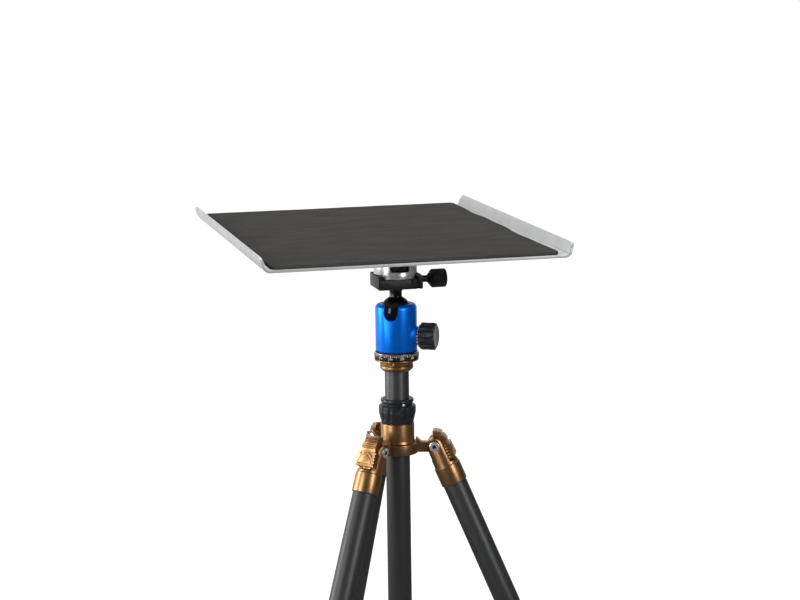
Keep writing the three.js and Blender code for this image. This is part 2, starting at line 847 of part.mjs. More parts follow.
// Panning base, drawn from its own floor
const postTop = housingFloor - panBaseFloor + panPostRise;

function panRing() {
  const bore = panRingBore + seatGap;
  return turned([
    [bore, 0],
    [panRingRadius - panRingBevel, 0],
    [panRingRadius, panRingBevel],
    [panRingRadius, panRingHeight - panRingBevel],
    [panRingRadius - panRingBevel, panRingHeight],
    [bore, panRingHeight],
  ]);
}

function panBase() {
  const flangeTop = panStepHeight + panFlangeThickness;
  const hubTopFace = flangeTop + seatGap + panRingHeight;
  const body = turned([
    [0, 0],
    [panStepRadius, 0],
    [panStepRadius, panStepHeight],
    [panFlangeRadius, panStepHeight],
    [panFlangeRadius, flangeTop],
    [panRingBore, flangeTop],
    [panRingBore, hubTopFace],
    [panPostRadius, hubTopFace],
    [panPostRadius, postTop],
    [0, postTop],
  ]);
  const slots = Array.from({ length: panSlots }, (unused, i) => {
    const slot = block(panStepRadius - panSlotDepth, panStepRadius + overrun, -panSlotWidth / 2, panSlotWidth / 2,
      panSlotFloor, panStepHeight);
    slot.rotateZ((2 * Math.PI * i) / panSlots);
    return slot;
  });
  const studBore = rod(headStudRadius + seatGap, -overrun, headStudRise + seatGap, boreSides);
  return cut(body, studBore, ...slots);
}

// Centre column, drawn from the top of its tube
function topPlate() {
  const boreRadius = columnRadius - columnWall - seatGap;
  return turned([
    [0, -topPlatePlug],
    [boreRadius, -topPlatePlug],
    [boreRadius, 0],
    [topPlateRadius - topPlateBevel, 0],
    [topPlateRadius, topPlateBevel],
    [topPlateRadius, topPlateHeight],
    [headStudRadius + seatGap, topPlateHeight],
    [headStudRadius + seatGap, topPlateHeight - headStudDrop - seatGap],
    [0, topPlateHeight - headStudDrop - seatGap],
  ]);
}

function headStud() {
  return rod(headStudRadius, topPlateHeight - headStudDrop, topPlateHeight + seatGap + headStudRise, boreSides);
}

function columnTube() {
  return pipe(columnRadius - columnWall, columnRadius, -columnLength, -seatGap, tubeSides);
}

function endCap() {
  const bottom = -columnLength - seatGap - endCapFlange;
  const plugRadius = columnRadius - columnWall - seatGap;
  return turned([
    [0, bottom],
    [columnRadius - endCapBevel, bottom],
    [columnRadius, bottom + endCapBevel],
    [columnRadius, -columnLength - seatGap],
    [plugRadius, -columnLength - seatGap],
    [plugRadius, -columnLength + endCapPlug],
    [0, -columnLength + endCapPlug],
  ], tubeSides);
}

// Column lock collar, drawn from its own floor
const bushBore = columnRadius + runGap;
const bushRadius = bushBore + bushWall;

function columnCollar() {
  const gripTop = collarHeight - collarFlangeHeight - collarNeckHeight;
  const threadBore = hubNeckRadius + runGap;
  const threadTop = hubNeckHeight + runGap;
  const grip = stacked(flutedCorners(collarRadius, collarFlutes, collarFluteDepth), [
    [0, collarRadius - collarFootRadius],
    [collarTaperRise, 0],
    [gripTop - collarShoulder, 0],
    [gripTop, collarShoulder],
  ]);
  const neck = turned([
    [0, gripTop - collarShoulder],
    [collarNeckRadius, gripTop - collarShoulder],
    [collarNeckRadius, gripTop + collarNeckHeight],
    [collarFlangeRadius, gripTop + collarNeckHeight],
    [collarFlangeRadius, collarHeight],
    [0, collarHeight],
  ]);
  const bore = turned([
    [0, -overrun],
    [threadBore, -overrun],
    [threadBore, threadTop],
    [bushRadius + runGap, threadTop],
    [bushRadius + runGap, gripTop],
    [columnRadius + runGap, gripTop],
    [columnRadius + runGap, collarHeight + overrun],
    [0, collarHeight + overrun],
  ]);
  return cut(join(grip, neck), bore);
}

function columnBush() {
  const bottom = -spiderRingTop - spiderRingBottom;
  const top = hubHeight + hubNeckHeight + runGap * 2;
  const sleeve = pipe(bushBore, bushRadius, bottom, top);
  const slot = block(0, bushRadius + overrun, -bushWall / 2, bushWall / 2, bottom - overrun, top + overrun);
  return cut(sleeve, slot);
}

// Hub sleeve, drawn from the top of the spider's ring
function hubSleeve() {
  const bore = bushRadius + seatGap;
  const spigotFoot = -spiderRingTop - spiderRingBottom;
  return turned([
    [bore, spigotFoot],
    [hubSpigotRadius, spigotFoot],
    [hubSpigotRadius, 0],
    [hubFootRadius, 0],
    [hubRadius, hubFlareHeight],
    [hubRadius, hubHeight],
    [hubNeckRadius, hubHeight],
    [hubNeckRadius, hubHeight + hubNeckHeight],
    [bore, hubHeight + hubNeckHeight],
  ]);
}

// Spider: a ring with three arms, each ending in an eye and a notched sector, drawn from the hinges' height
function spiderArm() {
  const root = hubFootRadius + seatGap * 2;
  const side = outline([
    [root, -armBottom],
    [hingeRadius, -armBottom],
    [hingeRadius, armTop],
    [hingeRadius - armTopReach, armTop],
    [root, armRootTop],
  ]);
  const web = upright(side, -armWidth / 2, armWidth / 2);
  const eye = alongY(rod(eyeRadius, -armWidth / 2, armWidth / 2));
  eye.translate(hingeRadius, 0, 0);
  const sector = upright(outline([
    [0, 0],
    ...arcPoints(0, 0, sectorRadius, sectorStart, sectorEnd, arcSteps + 2),
  ]), -armWidth / 2, armWidth / 2);
  sector.translate(hingeRadius, 0, 0);
  const notches = legSpreadStops.map((stop) => {
    const notch = alongY(rod(sectorNotchRadius, -armWidth, armWidth, notchSides));
    const angle = radians(stop);
    notch.translate(hingeRadius + sectorRadius * Math.cos(angle), 0, sectorRadius * Math.sin(angle));
    return notch;
  });
  const pinHole = alongY(rod(hingePinRadius + runGap, -armWidth, armWidth, boreSides));
  pinHole.translate(hingeRadius, 0, 0);
  return cut(join(web, eye, sector), ...notches, pinHole);
}

function spiderBody() {
  const ring = pipe(hubSpigotRadius + seatGap, spiderRingRadius, -spiderRingBottom, spiderRingTop);
  const arms = legAzimuths.map((azimuth) => {
    const arm = spiderArm();
    arm.rotateZ(radians(azimuth));
    return arm;
  });
  return join(ring, ...arms);
}

// Leg pieces, drawn from the hinge with the leg hanging along -Z and its outer side towards +X
const yokeSlotHalf = armWidth / 2 + runGap;
const leverTabHalf = leverTabWidth / 2;

function yokeBody() {
  const reach = yokeRadius + legAxisOut + overrun;
  const bar = rod(yokeRadius, -yokeCollarTop - overrun, yokeEyeRadius + overrun, tubeSides);
  bar.translate(legAxisOut, 0, 0);
  const side = outline([
    [-reach, -yokeCollarTop - overrun],
    [reach, -yokeCollarTop - overrun],
    [reach, -yokeShoulder],
    [yokeEyeRadius, -yokeShoulder],
    ...arcPoints(0, 0, yokeEyeRadius, 0, 180, arcSteps + 2),
    [-yokeEyeRadius, -yokeSlotDepth],
    [-reach, -yokeCollarTop],
  ]);
  const cheeks = common(bar, upright(side, -yokeRadius - overrun, yokeRadius + overrun));
  const collar = turned([
    [0, -yokeCollarEnd],
    [yokeCollarRadius - yokeCollarBevel, -yokeCollarEnd],
    [yokeCollarRadius, -yokeCollarEnd + yokeCollarBevel],
    [yokeCollarRadius, -yokeCollarTop],
    [0, -yokeCollarTop],
  ], tubeSides);
  collar.translate(legAxisOut, 0, 0);
  const slot = block(-reach, reach, -yokeSlotHalf, yokeSlotHalf, -yokeSlotDepth, yokeEyeRadius + overrun);
  const leverSlot = block(leverPivotOut - leverTabHeight / 2 - leverRoom, reach,
    -leverTabHalf - runGap, leverTabHalf + runGap,
    -leverPivotDown - leverTabHeight / 2 - leverRoom, -yokeSlotDepth + overrun);
  const tubeBore = rod(upperTubeRadius + seatGap, -yokeCollarEnd - overrun,
    -yokeCollarEnd + upperTubeSeat + seatGap, tubeSides);
  tubeBore.translate(legAxisOut, 0, 0);
  const pinHole = alongY(rod(hingePinRadius + seatGap, -yokeRadius - overrun, yokeRadius + overrun, boreSides));
  const headSeats = [-1, 1].map((end) => {
    const inner = end * (yokeRadius + hingeHeadProud - hingeHeadThickness - seatGap);
    const outer = end * (yokeRadius + overrun);
    return alongY(rod(hingeHeadRadius + seatGap, Math.min(inner, outer), Math.max(inner, outer), boreSides));
  });
  const leverPinEnd = leverPinLength / 2 + seatGap;
  const leverPinHole = alongY(rod(leverPinRadius + seatGap, -leverPinEnd, leverPinEnd, pinSides));
  leverPinHole.translate(leverPivotOut, 0, -leverPivotDown);
  return cut(join(cheeks, collar), slot, leverSlot, tubeBore, pinHole, ...headSeats, leverPinHole);
}

function hingePin() {
  const end = yokeRadius + hingeHeadProud;
  const shoulder = end - hingeHeadThickness;
  return alongY(turned([
    [0, -end],
    [hingeHeadRadius - hingeHeadDome, -end],
    [hingeHeadRadius, -end + hingeHeadDome],
    [hingeHeadRadius, -shoulder],
    [hingePinRadius, -shoulder],
    [hingePinRadius, shoulder],
    [hingeHeadRadius, shoulder],
    [hingeHeadRadius, end - hingeHeadDome],
    [hingeHeadRadius - hingeHeadDome, end],
    [0, end],
  ], boreSides));
}

// The lever: a toothed plate with a raised face, and above it a ridged strip that ends in a thumb tip
const leverInner = yokeEyeRadius + runGap;

function leverPlate() {
  const inner = leverInner;
  const slab = block(inner, leverReach, -leverPlateHalfWidth, leverPlateHalfWidth,
    -leverPlateFoot, -leverPlateFoot + leverPlateHeight);
  const rim = (leverPlateHeight - leverPlateToothPitch * (leverPlateTeeth - 1)) / 2;
  const gaps = [-1, 1].flatMap((end) => Array.from({ length: leverPlateTeeth }, (unused, i) => {
    const gap = alongX(rod(leverPlateToothDepth, inner - overrun, leverReach + overrun, toothGapSides));
    gap.translate(0, end * leverPlateHalfWidth, -leverPlateFoot + rim + leverPlateToothPitch * i);
    return gap;
  }));
  const rise = leverFaceHeight - leverFaceSide;
  const crown = arcPoints(0, 0, leverFaceHalfWidth, 0, 180, arcSteps * 2)
    .map(([x, y]) => [x, leverFaceSide + (y * rise) / leverFaceHalfWidth]);
  const face = plate(outline([[-leverFaceHalfWidth, 0], [leverFaceHalfWidth, 0], ...crown]),
    0, leverFaceThickness + runGap);
  face.rotateX(Math.PI / 2);
  face.rotateZ(Math.PI / 2);
  face.translate(leverReach - runGap, 0, -leverFaceFoot);
  return join(cut(slab, ...gaps), face);
}

// Drawn from the hinge, and moved to its own pivot at the end
function leverBody() {
  const inner = sectorRadius + runGap;
  const stripRadius = inner + leverStripThickness;
  const stripFoot = leverPlateHeight - leverPlateFoot - leverStripThickness;
  const stripStart = THREE.MathUtils.radToDeg(Math.asin(stripFoot / stripRadius));
  const strip = upright(outline([
    [leverInner, stripFoot],
    ...arcPoints(0, 0, stripRadius, stripStart, leverCurl, arcSteps + 2),
    ...arcPoints(0, 0, leverInner, leverCurl, 0),
  ]), -leverStripHalfWidth, leverStripHalfWidth);
  const tip = upright(outline([
    ...arcPoints(0, 0, inner + leverTipThickness, leverTipStart, leverCurl),
    ...arcPoints(0, 0, inner, leverCurl, leverTipStart),
  ]), -leverTipHalfWidth, leverTipHalfWidth);
  const ridges = Array.from({ length: leverRidges }, (unused, i) => {
    const ridge = alongY(rod(leverRidgeRadius, -leverStripHalfWidth, leverStripHalfWidth, pinSides));
    const angle = radians(leverRidgeStart + leverRidgePitch * i);
    ridge.translate(stripRadius * Math.cos(angle), 0, stripRadius * Math.sin(angle));
    return ridge;
  });
  const tab = block(leverPivotOut - leverTabHeight / 2, inner, -leverTabHalf, leverTabHalf,
    -leverPivotDown - leverTabHeight / 2, -leverPivotDown + leverTabHeight / 2);
  const sectorRoom = alongY(rod(roomy(inner, drumSides), -yokeSlotHalf, yokeSlotHalf));
  const pinHole = alongY(rod(leverPinRadius + runGap, -leverPlateHalfWidth, leverPlateHalfWidth, pinSides));
  pinHole.translate(leverPivotOut, 0, -leverPivotDown);
  const lever = cut(join(leverPlate(), strip, tip, ...ridges, tab), sectorRoom, pinHole);
  lever.translate(-leverPivotOut, 0, leverPivotDown);
  return lever;
}

function leverPin() {
  return alongY(rod(leverPinRadius, -leverPinLength / 2, leverPinLength / 2, pinSides));
}

// Leg tubes: 0 is the upper one
function tubeRadius(level) {
  return upperTubeRadius - tubeStep * level;
}

const upperTubeStart = yokeCollarEnd - upperTubeSeat;
const lowerTubeEnd = legLength - footSleeve + footTubeSeat;
const secondLockEnd = legLength - footSleeve - runGap;
const firstLockEnd = secondLockEnd - twistLockHeight - runGap;
const middleTubeEnd = firstLockEnd + runGap + twistLockBite;
const upperTubeEnd = firstLockEnd - twistLockHeight + twistLockBite;

function legTube(level, start, end) {
  const radius = tubeRadius(level);
  return pipe(radius - tubeWall, radius, -end, -start, level === 0 ? tubeSides : innerTubeSides);
}

// A twist lock sleeves the upper of its two tubes and hugs the lower, drawn from its own top
function twistLock(level) {
  const outerTube = tubeRadius(level);
  const innerTube = tubeRadius(level + 1);
  const radius = outerTube + runGap + twistLockWall;
  const skin = stacked(flutedCorners(radius, twistLockFlutes, twistLockFluteDepth), [
    [-twistLockHeight, twistLockLip + twistLockBevel],
    [-twistLockHeight + twistLockBite / 2, 0],
    [-twistLockBevel, 0],
    [0, twistLockBevel],
  ]);
  const innerRoom = roomy(innerTube + runGap, innerTubeSides);
  const outerRoom = roomy(outerTube + runGap, innerTubeSides);
  const bore = turned([
    [0, -twistLockHeight - overrun],
    [innerRoom, -twistLockHeight - overrun],
    [innerRoom, -twistLockBite - runGap],
    [outerRoom, -twistLockBite - runGap],
    [outerRoom, overrun],
    [0, overrun],
  ], innerTubeSides);
  return cut(skin, bore);
}

// The foot's ball is centred on the leg's length, with a sleeve on the lowest tube
function rubberFoot() {
  const tube = tubeRadius(2);
  const sleeveRadius = tube + tubeWall;
  const widen = Math.sqrt(Math.max(footRadius ** 2 - sleeveRadius ** 2, 0));
  const angle = THREE.MathUtils.radToDeg(Math.atan2(widen, sleeveRadius));
  const body = turned([
    [0, -footRadius],
    ...arcPoints(0, 0, footRadius, -90, angle, arcSteps + 1).slice(1),
    [sleeveRadius, footSleeve],
    [0, footSleeve],
  ], innerTubeSides);
  const bore = rod(tube + seatGap, footSleeve - footTubeSeat - seatGap, footSleeve + overrun, innerTubeSides);
  return cut(body, bore);
}

// Assembly
const table = new THREE.Group();

function place(mesh, height, azimuth = 0) {
  mesh.position.z = height;
  mesh.rotation.z = radians(azimuth);
  table.add(mesh);
}

place(piece('tray', trayShell(), satinAluminium), trayFloor);
place(piece('pad', padSheet(), blackCloth), trayFloor);
place(piece('tray_thread_plate', threadPlate(), brightSteel), threadPlateFloor);
place(piece('mount_puck', puckBody(), brightSteel), puckFloor);
place(piece('puck_thumbwheel', thumbwheel(), blackAnodised), puckFloor);

place(piece('clamp_body', clampBody(), blackAnodised), clampFloor);
place(piece('clamp_jaw', clampJaw(), blackAnodised), clampFloor);
place(piece('clamp_bolt', clampBolt(), brightSteel), clampFloor);
const clampKnobMesh = piece('clamp_knob', clampKnob(), blackAnodised);
place(clampKnobMesh, clampFloor + clampScrewHeight);
['clamp_guide_front', 'clamp_guide_back'].forEach((name, i) => {
  const guide = piece(name, clampGuide(), brightSteel);
  place(guide, clampFloor + clampGuideHeight);
  guide.position.y = (i === 0 ? -clampGuideSpacing : clampGuideSpacing) / 2;
});

place(piece('ball', ballBody(), glossBlack), ballHeight);
place(piece('head_housing', housingShell(), blueAnodised), housingFloor, knobAzimuth);
place(piece('ball_seat', ballSeat(), blackNylon), housingFloor, knobAzimuth);
place(piece('lock_wedge', lockWedge(), brightSteel), housingFloor, knobAzimuth);
place(piece('lock_knob', lockKnob(), blackAnodised), housingFloor + lockUp, knobAzimuth);
place(piece('lock_grip', lockGrip(), blackRubber), housingFloor + lockUp, knobAzimuth);
place(piece('lock_cap', lockCap(), greyAluminium), housingFloor + lockUp, knobAzimuth);
place(piece('pan_lock_knob', panLockKnob(), blackAnodised), housingFloor + panLockUp, panLockAzimuth);

place(piece('pan_ring', panRing(), blackAnodised), panRingFloor);
place(piece('pan_base', panBase(), bronzeAnodised), panBaseFloor);
place(piece('column_top_plate', topPlate(), bronzeAnodised), columnTop);
place(piece('head_stud', headStud(), brightSteel), columnTop);
place(piece('column_tube', columnTube(), carbonTube), columnTop);
place(piece('column_end_cap', endCap(), blackRubber), columnTop);
place(piece('column_collar', columnCollar(), blackRubber), collarFloor);
place(piece('column_bush', columnBush(), blackNylon), hubFloor);
place(piece('hub_sleeve', hubSleeve(), bronzeAnodised), hubFloor);
place(piece('spider', spiderBody(), bronzeAnodised), hingeHeight);

// One leg hangs from each eye of the spider, leaning out by the leg spread
legAzimuths.forEach((azimuth, i) => {
  const name = `leg_${i + 1}`;
  const turn = new THREE.Group();
  turn.rotation.z = radians(azimuth);
  const leg = new THREE.Group();
  leg.position.set(hingeRadius, 0, hingeHeight);
  leg.rotation.y = -radians(legSpread);
  turn.add(leg);
  table.add(turn);

  leg.add(piece(`${name}_yoke`, yokeBody(), bronzeAnodised));
  leg.add(piece(`${name}_hinge_pin`, hingePin(), brightSteel));
  const lever = piece(`${name}_angle_lever`, leverBody(), bronzeAnodised);
  lever.position.set(leverPivotOut, 0, -leverPivotDown);
  leg.add(lever);
  const leverPinMesh = piece(`${name}_lever_pin`, leverPin(), brightSteel);
  leverPinMesh.position.copy(lever.position);
  leg.add(leverPinMesh);

  const shaft = new THREE.Group();
  shaft.position.x = legAxisOut;
  leg.add(shaft);
  shaft.add(piece(`${name}_upper_tube`, legTube(0, upperTubeStart, upperTubeEnd), carbonTube));
  const upperLock = piece(`${name}_upper_lock`, twistLock(0), blackRubber);
  upperLock.position.z = twistLockHeight - firstLockEnd;
  shaft.add(upperLock);
  shaft.add(piece(`${name}_middle_tube`, legTube(1, innerTubeTop, middleTubeEnd), carbonTube));
  const lowerLock = piece(`${name}_lower_lock`, twistLock(1), blackRubber);
  lowerLock.position.z = twistLockHeight - secondLockEnd;
  shaft.add(lowerLock);
  shaft.add(piece(`${name}_lower_tube`, legTube(2, lowerTubeTop, lowerTubeEnd), carbonTube));
  const foot = piece(`${name}_foot`, rubberFoot(), blackRubber);
  foot.position.z = -legLength;
  shaft.add(foot);
});

// The origin is on the floor, under the middle of the whole table's outline
const footReach = hingeRadius + legLength * Math.sin(radians(legSpread))
  + legAxisOut * Math.cos(radians(legSpread));
const footX = legAzimuths.map((azimuth) => footReach * Math.cos(radians(azimuth)));
const footY = legAzimuths.map((azimuth) => footReach * Math.sin(radians(azimuth)));
const lipReach = trayWidth / 2 + trayLipHeight * Math.tan(radians(trayLipLean));
const right = Math.max(lipReach, ...footX.map((x) => x + footRadius));
const left = Math.min(-lipReach, ...footX.map((x) => x - footRadius));
const front = Math.min(-trayFrontOverhang, ...footY.map((y) => y - footRadius));
const back = Math.max(trayDepth - trayFrontOverhang, ...footY.map((y) => y + footRadius));
table.position.set(-(left + right) / 2, -(front + back) / 2, 0);

export default table;
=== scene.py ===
# A tethering table: its finishes and fine shapes, built round the fixed CAD frame.
# Pieces are drawn in millimetres in their own place and scaled to metres when they are added.
import json
import math

import bmesh
import bpy
from mathutils import Matrix, Vector, noise

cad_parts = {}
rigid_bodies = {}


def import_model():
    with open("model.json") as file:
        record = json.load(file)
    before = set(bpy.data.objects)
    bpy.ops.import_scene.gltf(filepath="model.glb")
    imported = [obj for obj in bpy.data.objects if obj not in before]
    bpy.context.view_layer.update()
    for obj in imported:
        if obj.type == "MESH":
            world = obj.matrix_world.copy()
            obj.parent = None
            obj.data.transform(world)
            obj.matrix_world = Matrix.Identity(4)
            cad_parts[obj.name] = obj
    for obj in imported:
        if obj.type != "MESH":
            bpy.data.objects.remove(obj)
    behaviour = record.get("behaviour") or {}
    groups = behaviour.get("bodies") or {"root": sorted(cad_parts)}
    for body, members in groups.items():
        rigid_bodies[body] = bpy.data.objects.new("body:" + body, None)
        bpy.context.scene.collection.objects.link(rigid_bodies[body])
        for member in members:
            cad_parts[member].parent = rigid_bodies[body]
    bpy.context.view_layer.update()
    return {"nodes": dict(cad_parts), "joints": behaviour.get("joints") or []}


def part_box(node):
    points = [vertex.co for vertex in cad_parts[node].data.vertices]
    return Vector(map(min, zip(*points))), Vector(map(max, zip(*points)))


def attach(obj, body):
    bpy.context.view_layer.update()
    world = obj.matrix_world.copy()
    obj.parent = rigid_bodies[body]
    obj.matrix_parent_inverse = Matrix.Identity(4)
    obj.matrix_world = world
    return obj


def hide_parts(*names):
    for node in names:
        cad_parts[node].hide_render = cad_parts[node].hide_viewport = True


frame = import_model()
nodes = frame["nodes"]
joints = {joint["name"]: joint for joint in frame["joints"]}

MM = 0.001
ROUND, SMALL_ROUND, TINY_ROUND, LEAST_ROUND = 96, 48, 24, 16  # sides
EASE_STEPS = 4
GAP = 0.3  # between fixed pieces that touch
RUN = 0.4  # between pieces that slide or turn on each other
OVER = 2  # how far a cut runs past the piece it cuts
POLE = 80  # degrees up or down a sphere where its last facets start
WELD = 0.03  # vertices this near each other become one
LEGS = ("leg_1", "leg_2", "leg_3")


# Places, read from the frame
def joint_point(name):
    return Vector(joints[name]["pos_m"]) / MM


def joint_axis(name):
    return Vector(joints[name]["axis"]).normalized()


def low(node):
    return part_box(node)[0][2] / MM


def high(node):
    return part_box(node)[1][2] / MM


def framed(x_axis, y_axis, z_axis, origin):
    place = Matrix((x_axis, y_axis, z_axis)).transposed().to_4x4()
    place.translation = origin
    return place


COLUMN = joint_point("head_pan")
UP = Vector((0, 0, 1))


def on_column(height, degrees=0.0):
    turn = Matrix.Rotation(math.radians(degrees), 4, "Z")
    return Matrix.Translation((COLUMN.x, COLUMN.y, height)) @ turn


def bearing(vector):
    """The way it points, in degrees from +X."""
    return math.degrees(math.atan2(vector.y, vector.x))


def along_knob(joint):
    """Local Z runs outwards along the knob's own axis, from the head's axis."""
    axis = joint_axis(joint)
    centre = Vector((COLUMN.x, COLUMN.y, joint_point(joint).z))
    return framed(UP.cross(axis), UP, axis, centre)


def in_leg(leg, out=0.0):
    """Local -Z runs down the leg from its hinge, or from a point further out. +X is the leg's outer side."""
    z_axis = -joint_axis(f"{leg}_middle_slide")
    y_axis = joint_axis(f"{leg}_lever_pull")
    x_axis = y_axis.cross(z_axis)
    return framed(x_axis, y_axis, z_axis, joint_point(f"{leg}_fold") + x_axis * out)


# Outlines
def polar(radius, degrees):
    turn = math.radians(degrees)
    return radius * math.cos(turn), radius * math.sin(turn)


def arc(x, y, radius, start, end, steps=8):
    """Points on an arc, with its angles in degrees."""
    points = (polar(radius, start + (end - start) * i / steps) for i in range(steps + 1))
    return [(x + across, y + along) for across, along in points]


def eased(corners, closed=False, steps=EASE_STEPS):
    """Corners given as (x, y, radius) become arcs; those given as (x, y) stay sharp."""
    points = []
    count = len(corners)
    for i, corner in enumerate(corners):
        here = Vector(corner[:2])
        if len(corner) < 3 or (not closed and i in (0, count - 1)):
            points.append(here)
            continue
        before = Vector(corners[i - 1][:2]) - here
        after = Vector(corners[(i + 1) % count][:2]) - here
        half = before.angle(after) / 2
        reach = min(corner[2] / math.tan(half), before.length / 2, after.length / 2)
        radius = reach * math.tan(half)
        middle = (before.normalized() + after.normalized()).normalized()
        centre = here + middle * (radius / math.sin(half))
        first = here + before.normalized() * reach - centre
        last = here + after.normalized() * reach - centre
        start = math.atan2(first.y, first.x)
        sweep = (math.atan2(last.y, last.x) - start + math.pi) % math.tau - math.pi
        for step in range(steps + 1):
            turn = start + sweep * step / steps
            points.append(centre + Vector((math.cos(turn), math.sin(turn))) * radius)
    return [tuple(point) for point in points]


def fluted(radius, flutes, depth, share=0.5, steps=96):
    """A round outline with smooth hollows that take up the share of the way round."""
    points = []
    for i in range(steps):
        turn = math.tau * i / steps
        across = abs((flutes * i / steps + 0.5) % 1 - 0.5) * 2
        dip = 0.5 + 0.5 * math.cos(math.pi * min(across / share, 1))
        reach = radius - depth * dip
        points.append((reach * math.cos(turn), reach * math.sin(turn)))
    return points


def shrunk(points, inset):
    """The outline drawn in towards the axis by the inset."""
    return [(x - inset * x / math.hypot(x, y), y - inset * y / math.hypot(x, y)) for x, y in points]


def round_off(distance, radius):
    """How far a rounded edge draws back at this distance from the end."""
    left = max(radius - distance, 0)
    return radius - math.sqrt(max(radius ** 2 - left ** 2, 0))


def clamped(value):
    return min(max(value, 0), 1)


# Shapes, as bmeshes
def lathe(profile, sides=ROUND, mapped=False):
    """A (radius, height) profile turned about Z. One that is clear of the axis closes on itself."""
    bm = bmesh.new()
    rows = []
    for radius, height in profile:
        if radius < 1e-6:
            rows.append([bm.verts.new((0, 0, height))] * sides)
            continue
        turns = (math.tau * i / sides for i in range(sides))
        rows.append([bm.verts.new((radius * math.cos(t), radius * math.sin(t), height)) for t in turns])
    pairs = list(zip(rows, rows[1:]))
    if profile[0][0] > 1e-6:
        pairs.append((rows[-1], rows[0]))
    uv = bm.loops.layers.uv.new("turned") if mapped else None
    for lower, upper in pairs:
        for i in range(sides):
            j = (i + 1) % sides
            corners = [lower[i], lower[j], upper[j], upper[i]]
            corners = [v for k, v in enumerate(corners) if v is not corners[k - 1]]
            if len(corners) < 3:
                continue
            face = bm.faces.new(corners)
            if not mapped:
                continue
            for loop in face.loops:
                turn = i if loop.vert in (lower[i], upper[i]) else i + 1
                radius = loop.vert.co.xy.length
                loop[uv].uv = (math.tau * turn / sides * radius, loop.vert.co.z)
    bmesh.ops.recalc_face_normals(bm, faces=bm.faces)
    return bm


def rod(radius, bottom, top, sides=ROUND, ease=0.0):
    corners = [(0, bottom), (radius, bottom, ease), (radius, top, ease), (0, top)]
    return lathe(eased(corners) if ease else [corner[:2] for corner in corners], sides)


def stacked(outlines):
    """A body through (height, points) rows that all have the same count of points."""
    bm = bmesh.new()
    rings = [[bm.verts.new((x, y, height)) for x, y in points] for height, points in outlines]
    count = len(rings[0])
    for lower, upper in zip(rings, rings[1:]):
        for i in range(count):
            j = (i + 1) % count
            bm.faces.new((lower[i], lower[j], upper[j], upper[i]))
    bm.faces.new(rings[0][::-1])
    bm.faces.new(rings[-1])
    bmesh.ops.recalc_face_normals(bm, faces=bm.faces)
    return bm


def prism(points, bottom, top):
    return stacked([(bottom, points), (top, points)])


def inset_stack(outline, rows):
    """A body through (height, inset) rows of the one outline."""
    return stacked([(height, shrunk(outline, inset)) for height, inset in rows])


def fluted_grip(radius, flutes, bottom, length, rows, steps, shape):
    """Shape gives the flutes' depth and share and the inset, from the share of the way up."""
    outlines = []
    for row in range(rows + 1):
        share = row / rows
        depth, width, inset = shape(share)
        outline = fluted(radius, flutes, depth, width, steps)
        outlines.append((bottom + length * share, shrunk(outline, inset)))
    return stacked(outlines)


def block(left, right, front, back, bottom, top):
    return prism([(left, front), (right, front), (right, back), (left, back)], bottom, top)


def moved(bm, x=0.0, y=0.0, z=0.0):
    bmesh.ops.translate(bm, vec=(x, y, z), verts=bm.verts)
    return bm


def turned(bm, degrees, axis="Z"):
    matrix = Matrix.Rotation(math.radians(degrees), 3, axis)
    bmesh.ops.rotate(bm, cent=(0, 0, 0), matrix=matrix, verts=bm.verts)
    return bm


def along_x(bm):
    return turned(bm, 90, "Y")


def along_y(bm):
    return turned(bm, -90, "X")


def rod_x(radius, start, end, y=0.0, z=0.0, sides=SMALL_ROUND, ease=0.0):
    return moved(along_x(rod(radius, start, end, sides, ease)), 0, y, z)


def rod_y(radius, start, end, x=0.0, z=0.0, sides=SMALL_ROUND):
    return moved(along_y(rod(radius, start, end, sides)), x, 0, z)


def upright(points, front, back):
    """An outline drawn in X and Z, extruded along Y."""
    return turned(prism(points, -back, -front), 90, "X")


def merged(*parts):
    """Several separate bodies as one mesh."""
    whole = bmesh.new()
    for part in parts:
        mesh = bpy.data.meshes.new("part")
        part.to_mesh(mesh)
        part.free()
        whole.from_mesh(mesh)
        bpy.data.meshes.remove(mesh)
    return whole


def added(name, data):
    """A new object in the scene."""
    made = bpy.data.objects.new(name, data)
    bpy.context.scene.collection.objects.link(made)
    return made


def as_object(bm, name="draft"):
    mesh = bpy.data.meshes.new(name)
    bm.to_mesh(mesh)
    bm.free()
    return added(name, mesh)


def evaluated(draft):
    """The mesh of the draft object or text, with its modifiers applied. The draft is removed."""
    graph = bpy.context.evaluated_depsgraph_get()
    mesh = bpy.data.meshes.new_from_object(draft.evaluated_get(graph))
    bpy.data.batch_remove([draft, draft.data])
    return mesh


def combined(operation, base, others):
    draft = as_object(base)
    tools = [as_object(other, "tool") for other in others]
    for tool in tools:
        modifier = draft.modifiers.new("combine", "BOOLEAN")
        modifier.operation = operation
        modifier.solver = "MANIFOLD"
        modifier.object = tool
    mesh = evaluated(draft)
    for tool in tools:
        bpy.data.batch_remove([tool, tool.data])
    bm = bmesh.new()
    bm.from_mesh(mesh)
    bpy.data.meshes.remove(mesh)
    return bm


def cut(base, *others):
    return combined("DIFFERENCE", base, others)


def join(base, *others):
    return combined("UNION", base, others)


def common(base, *others):
    return combined("INTERSECT", base, others)


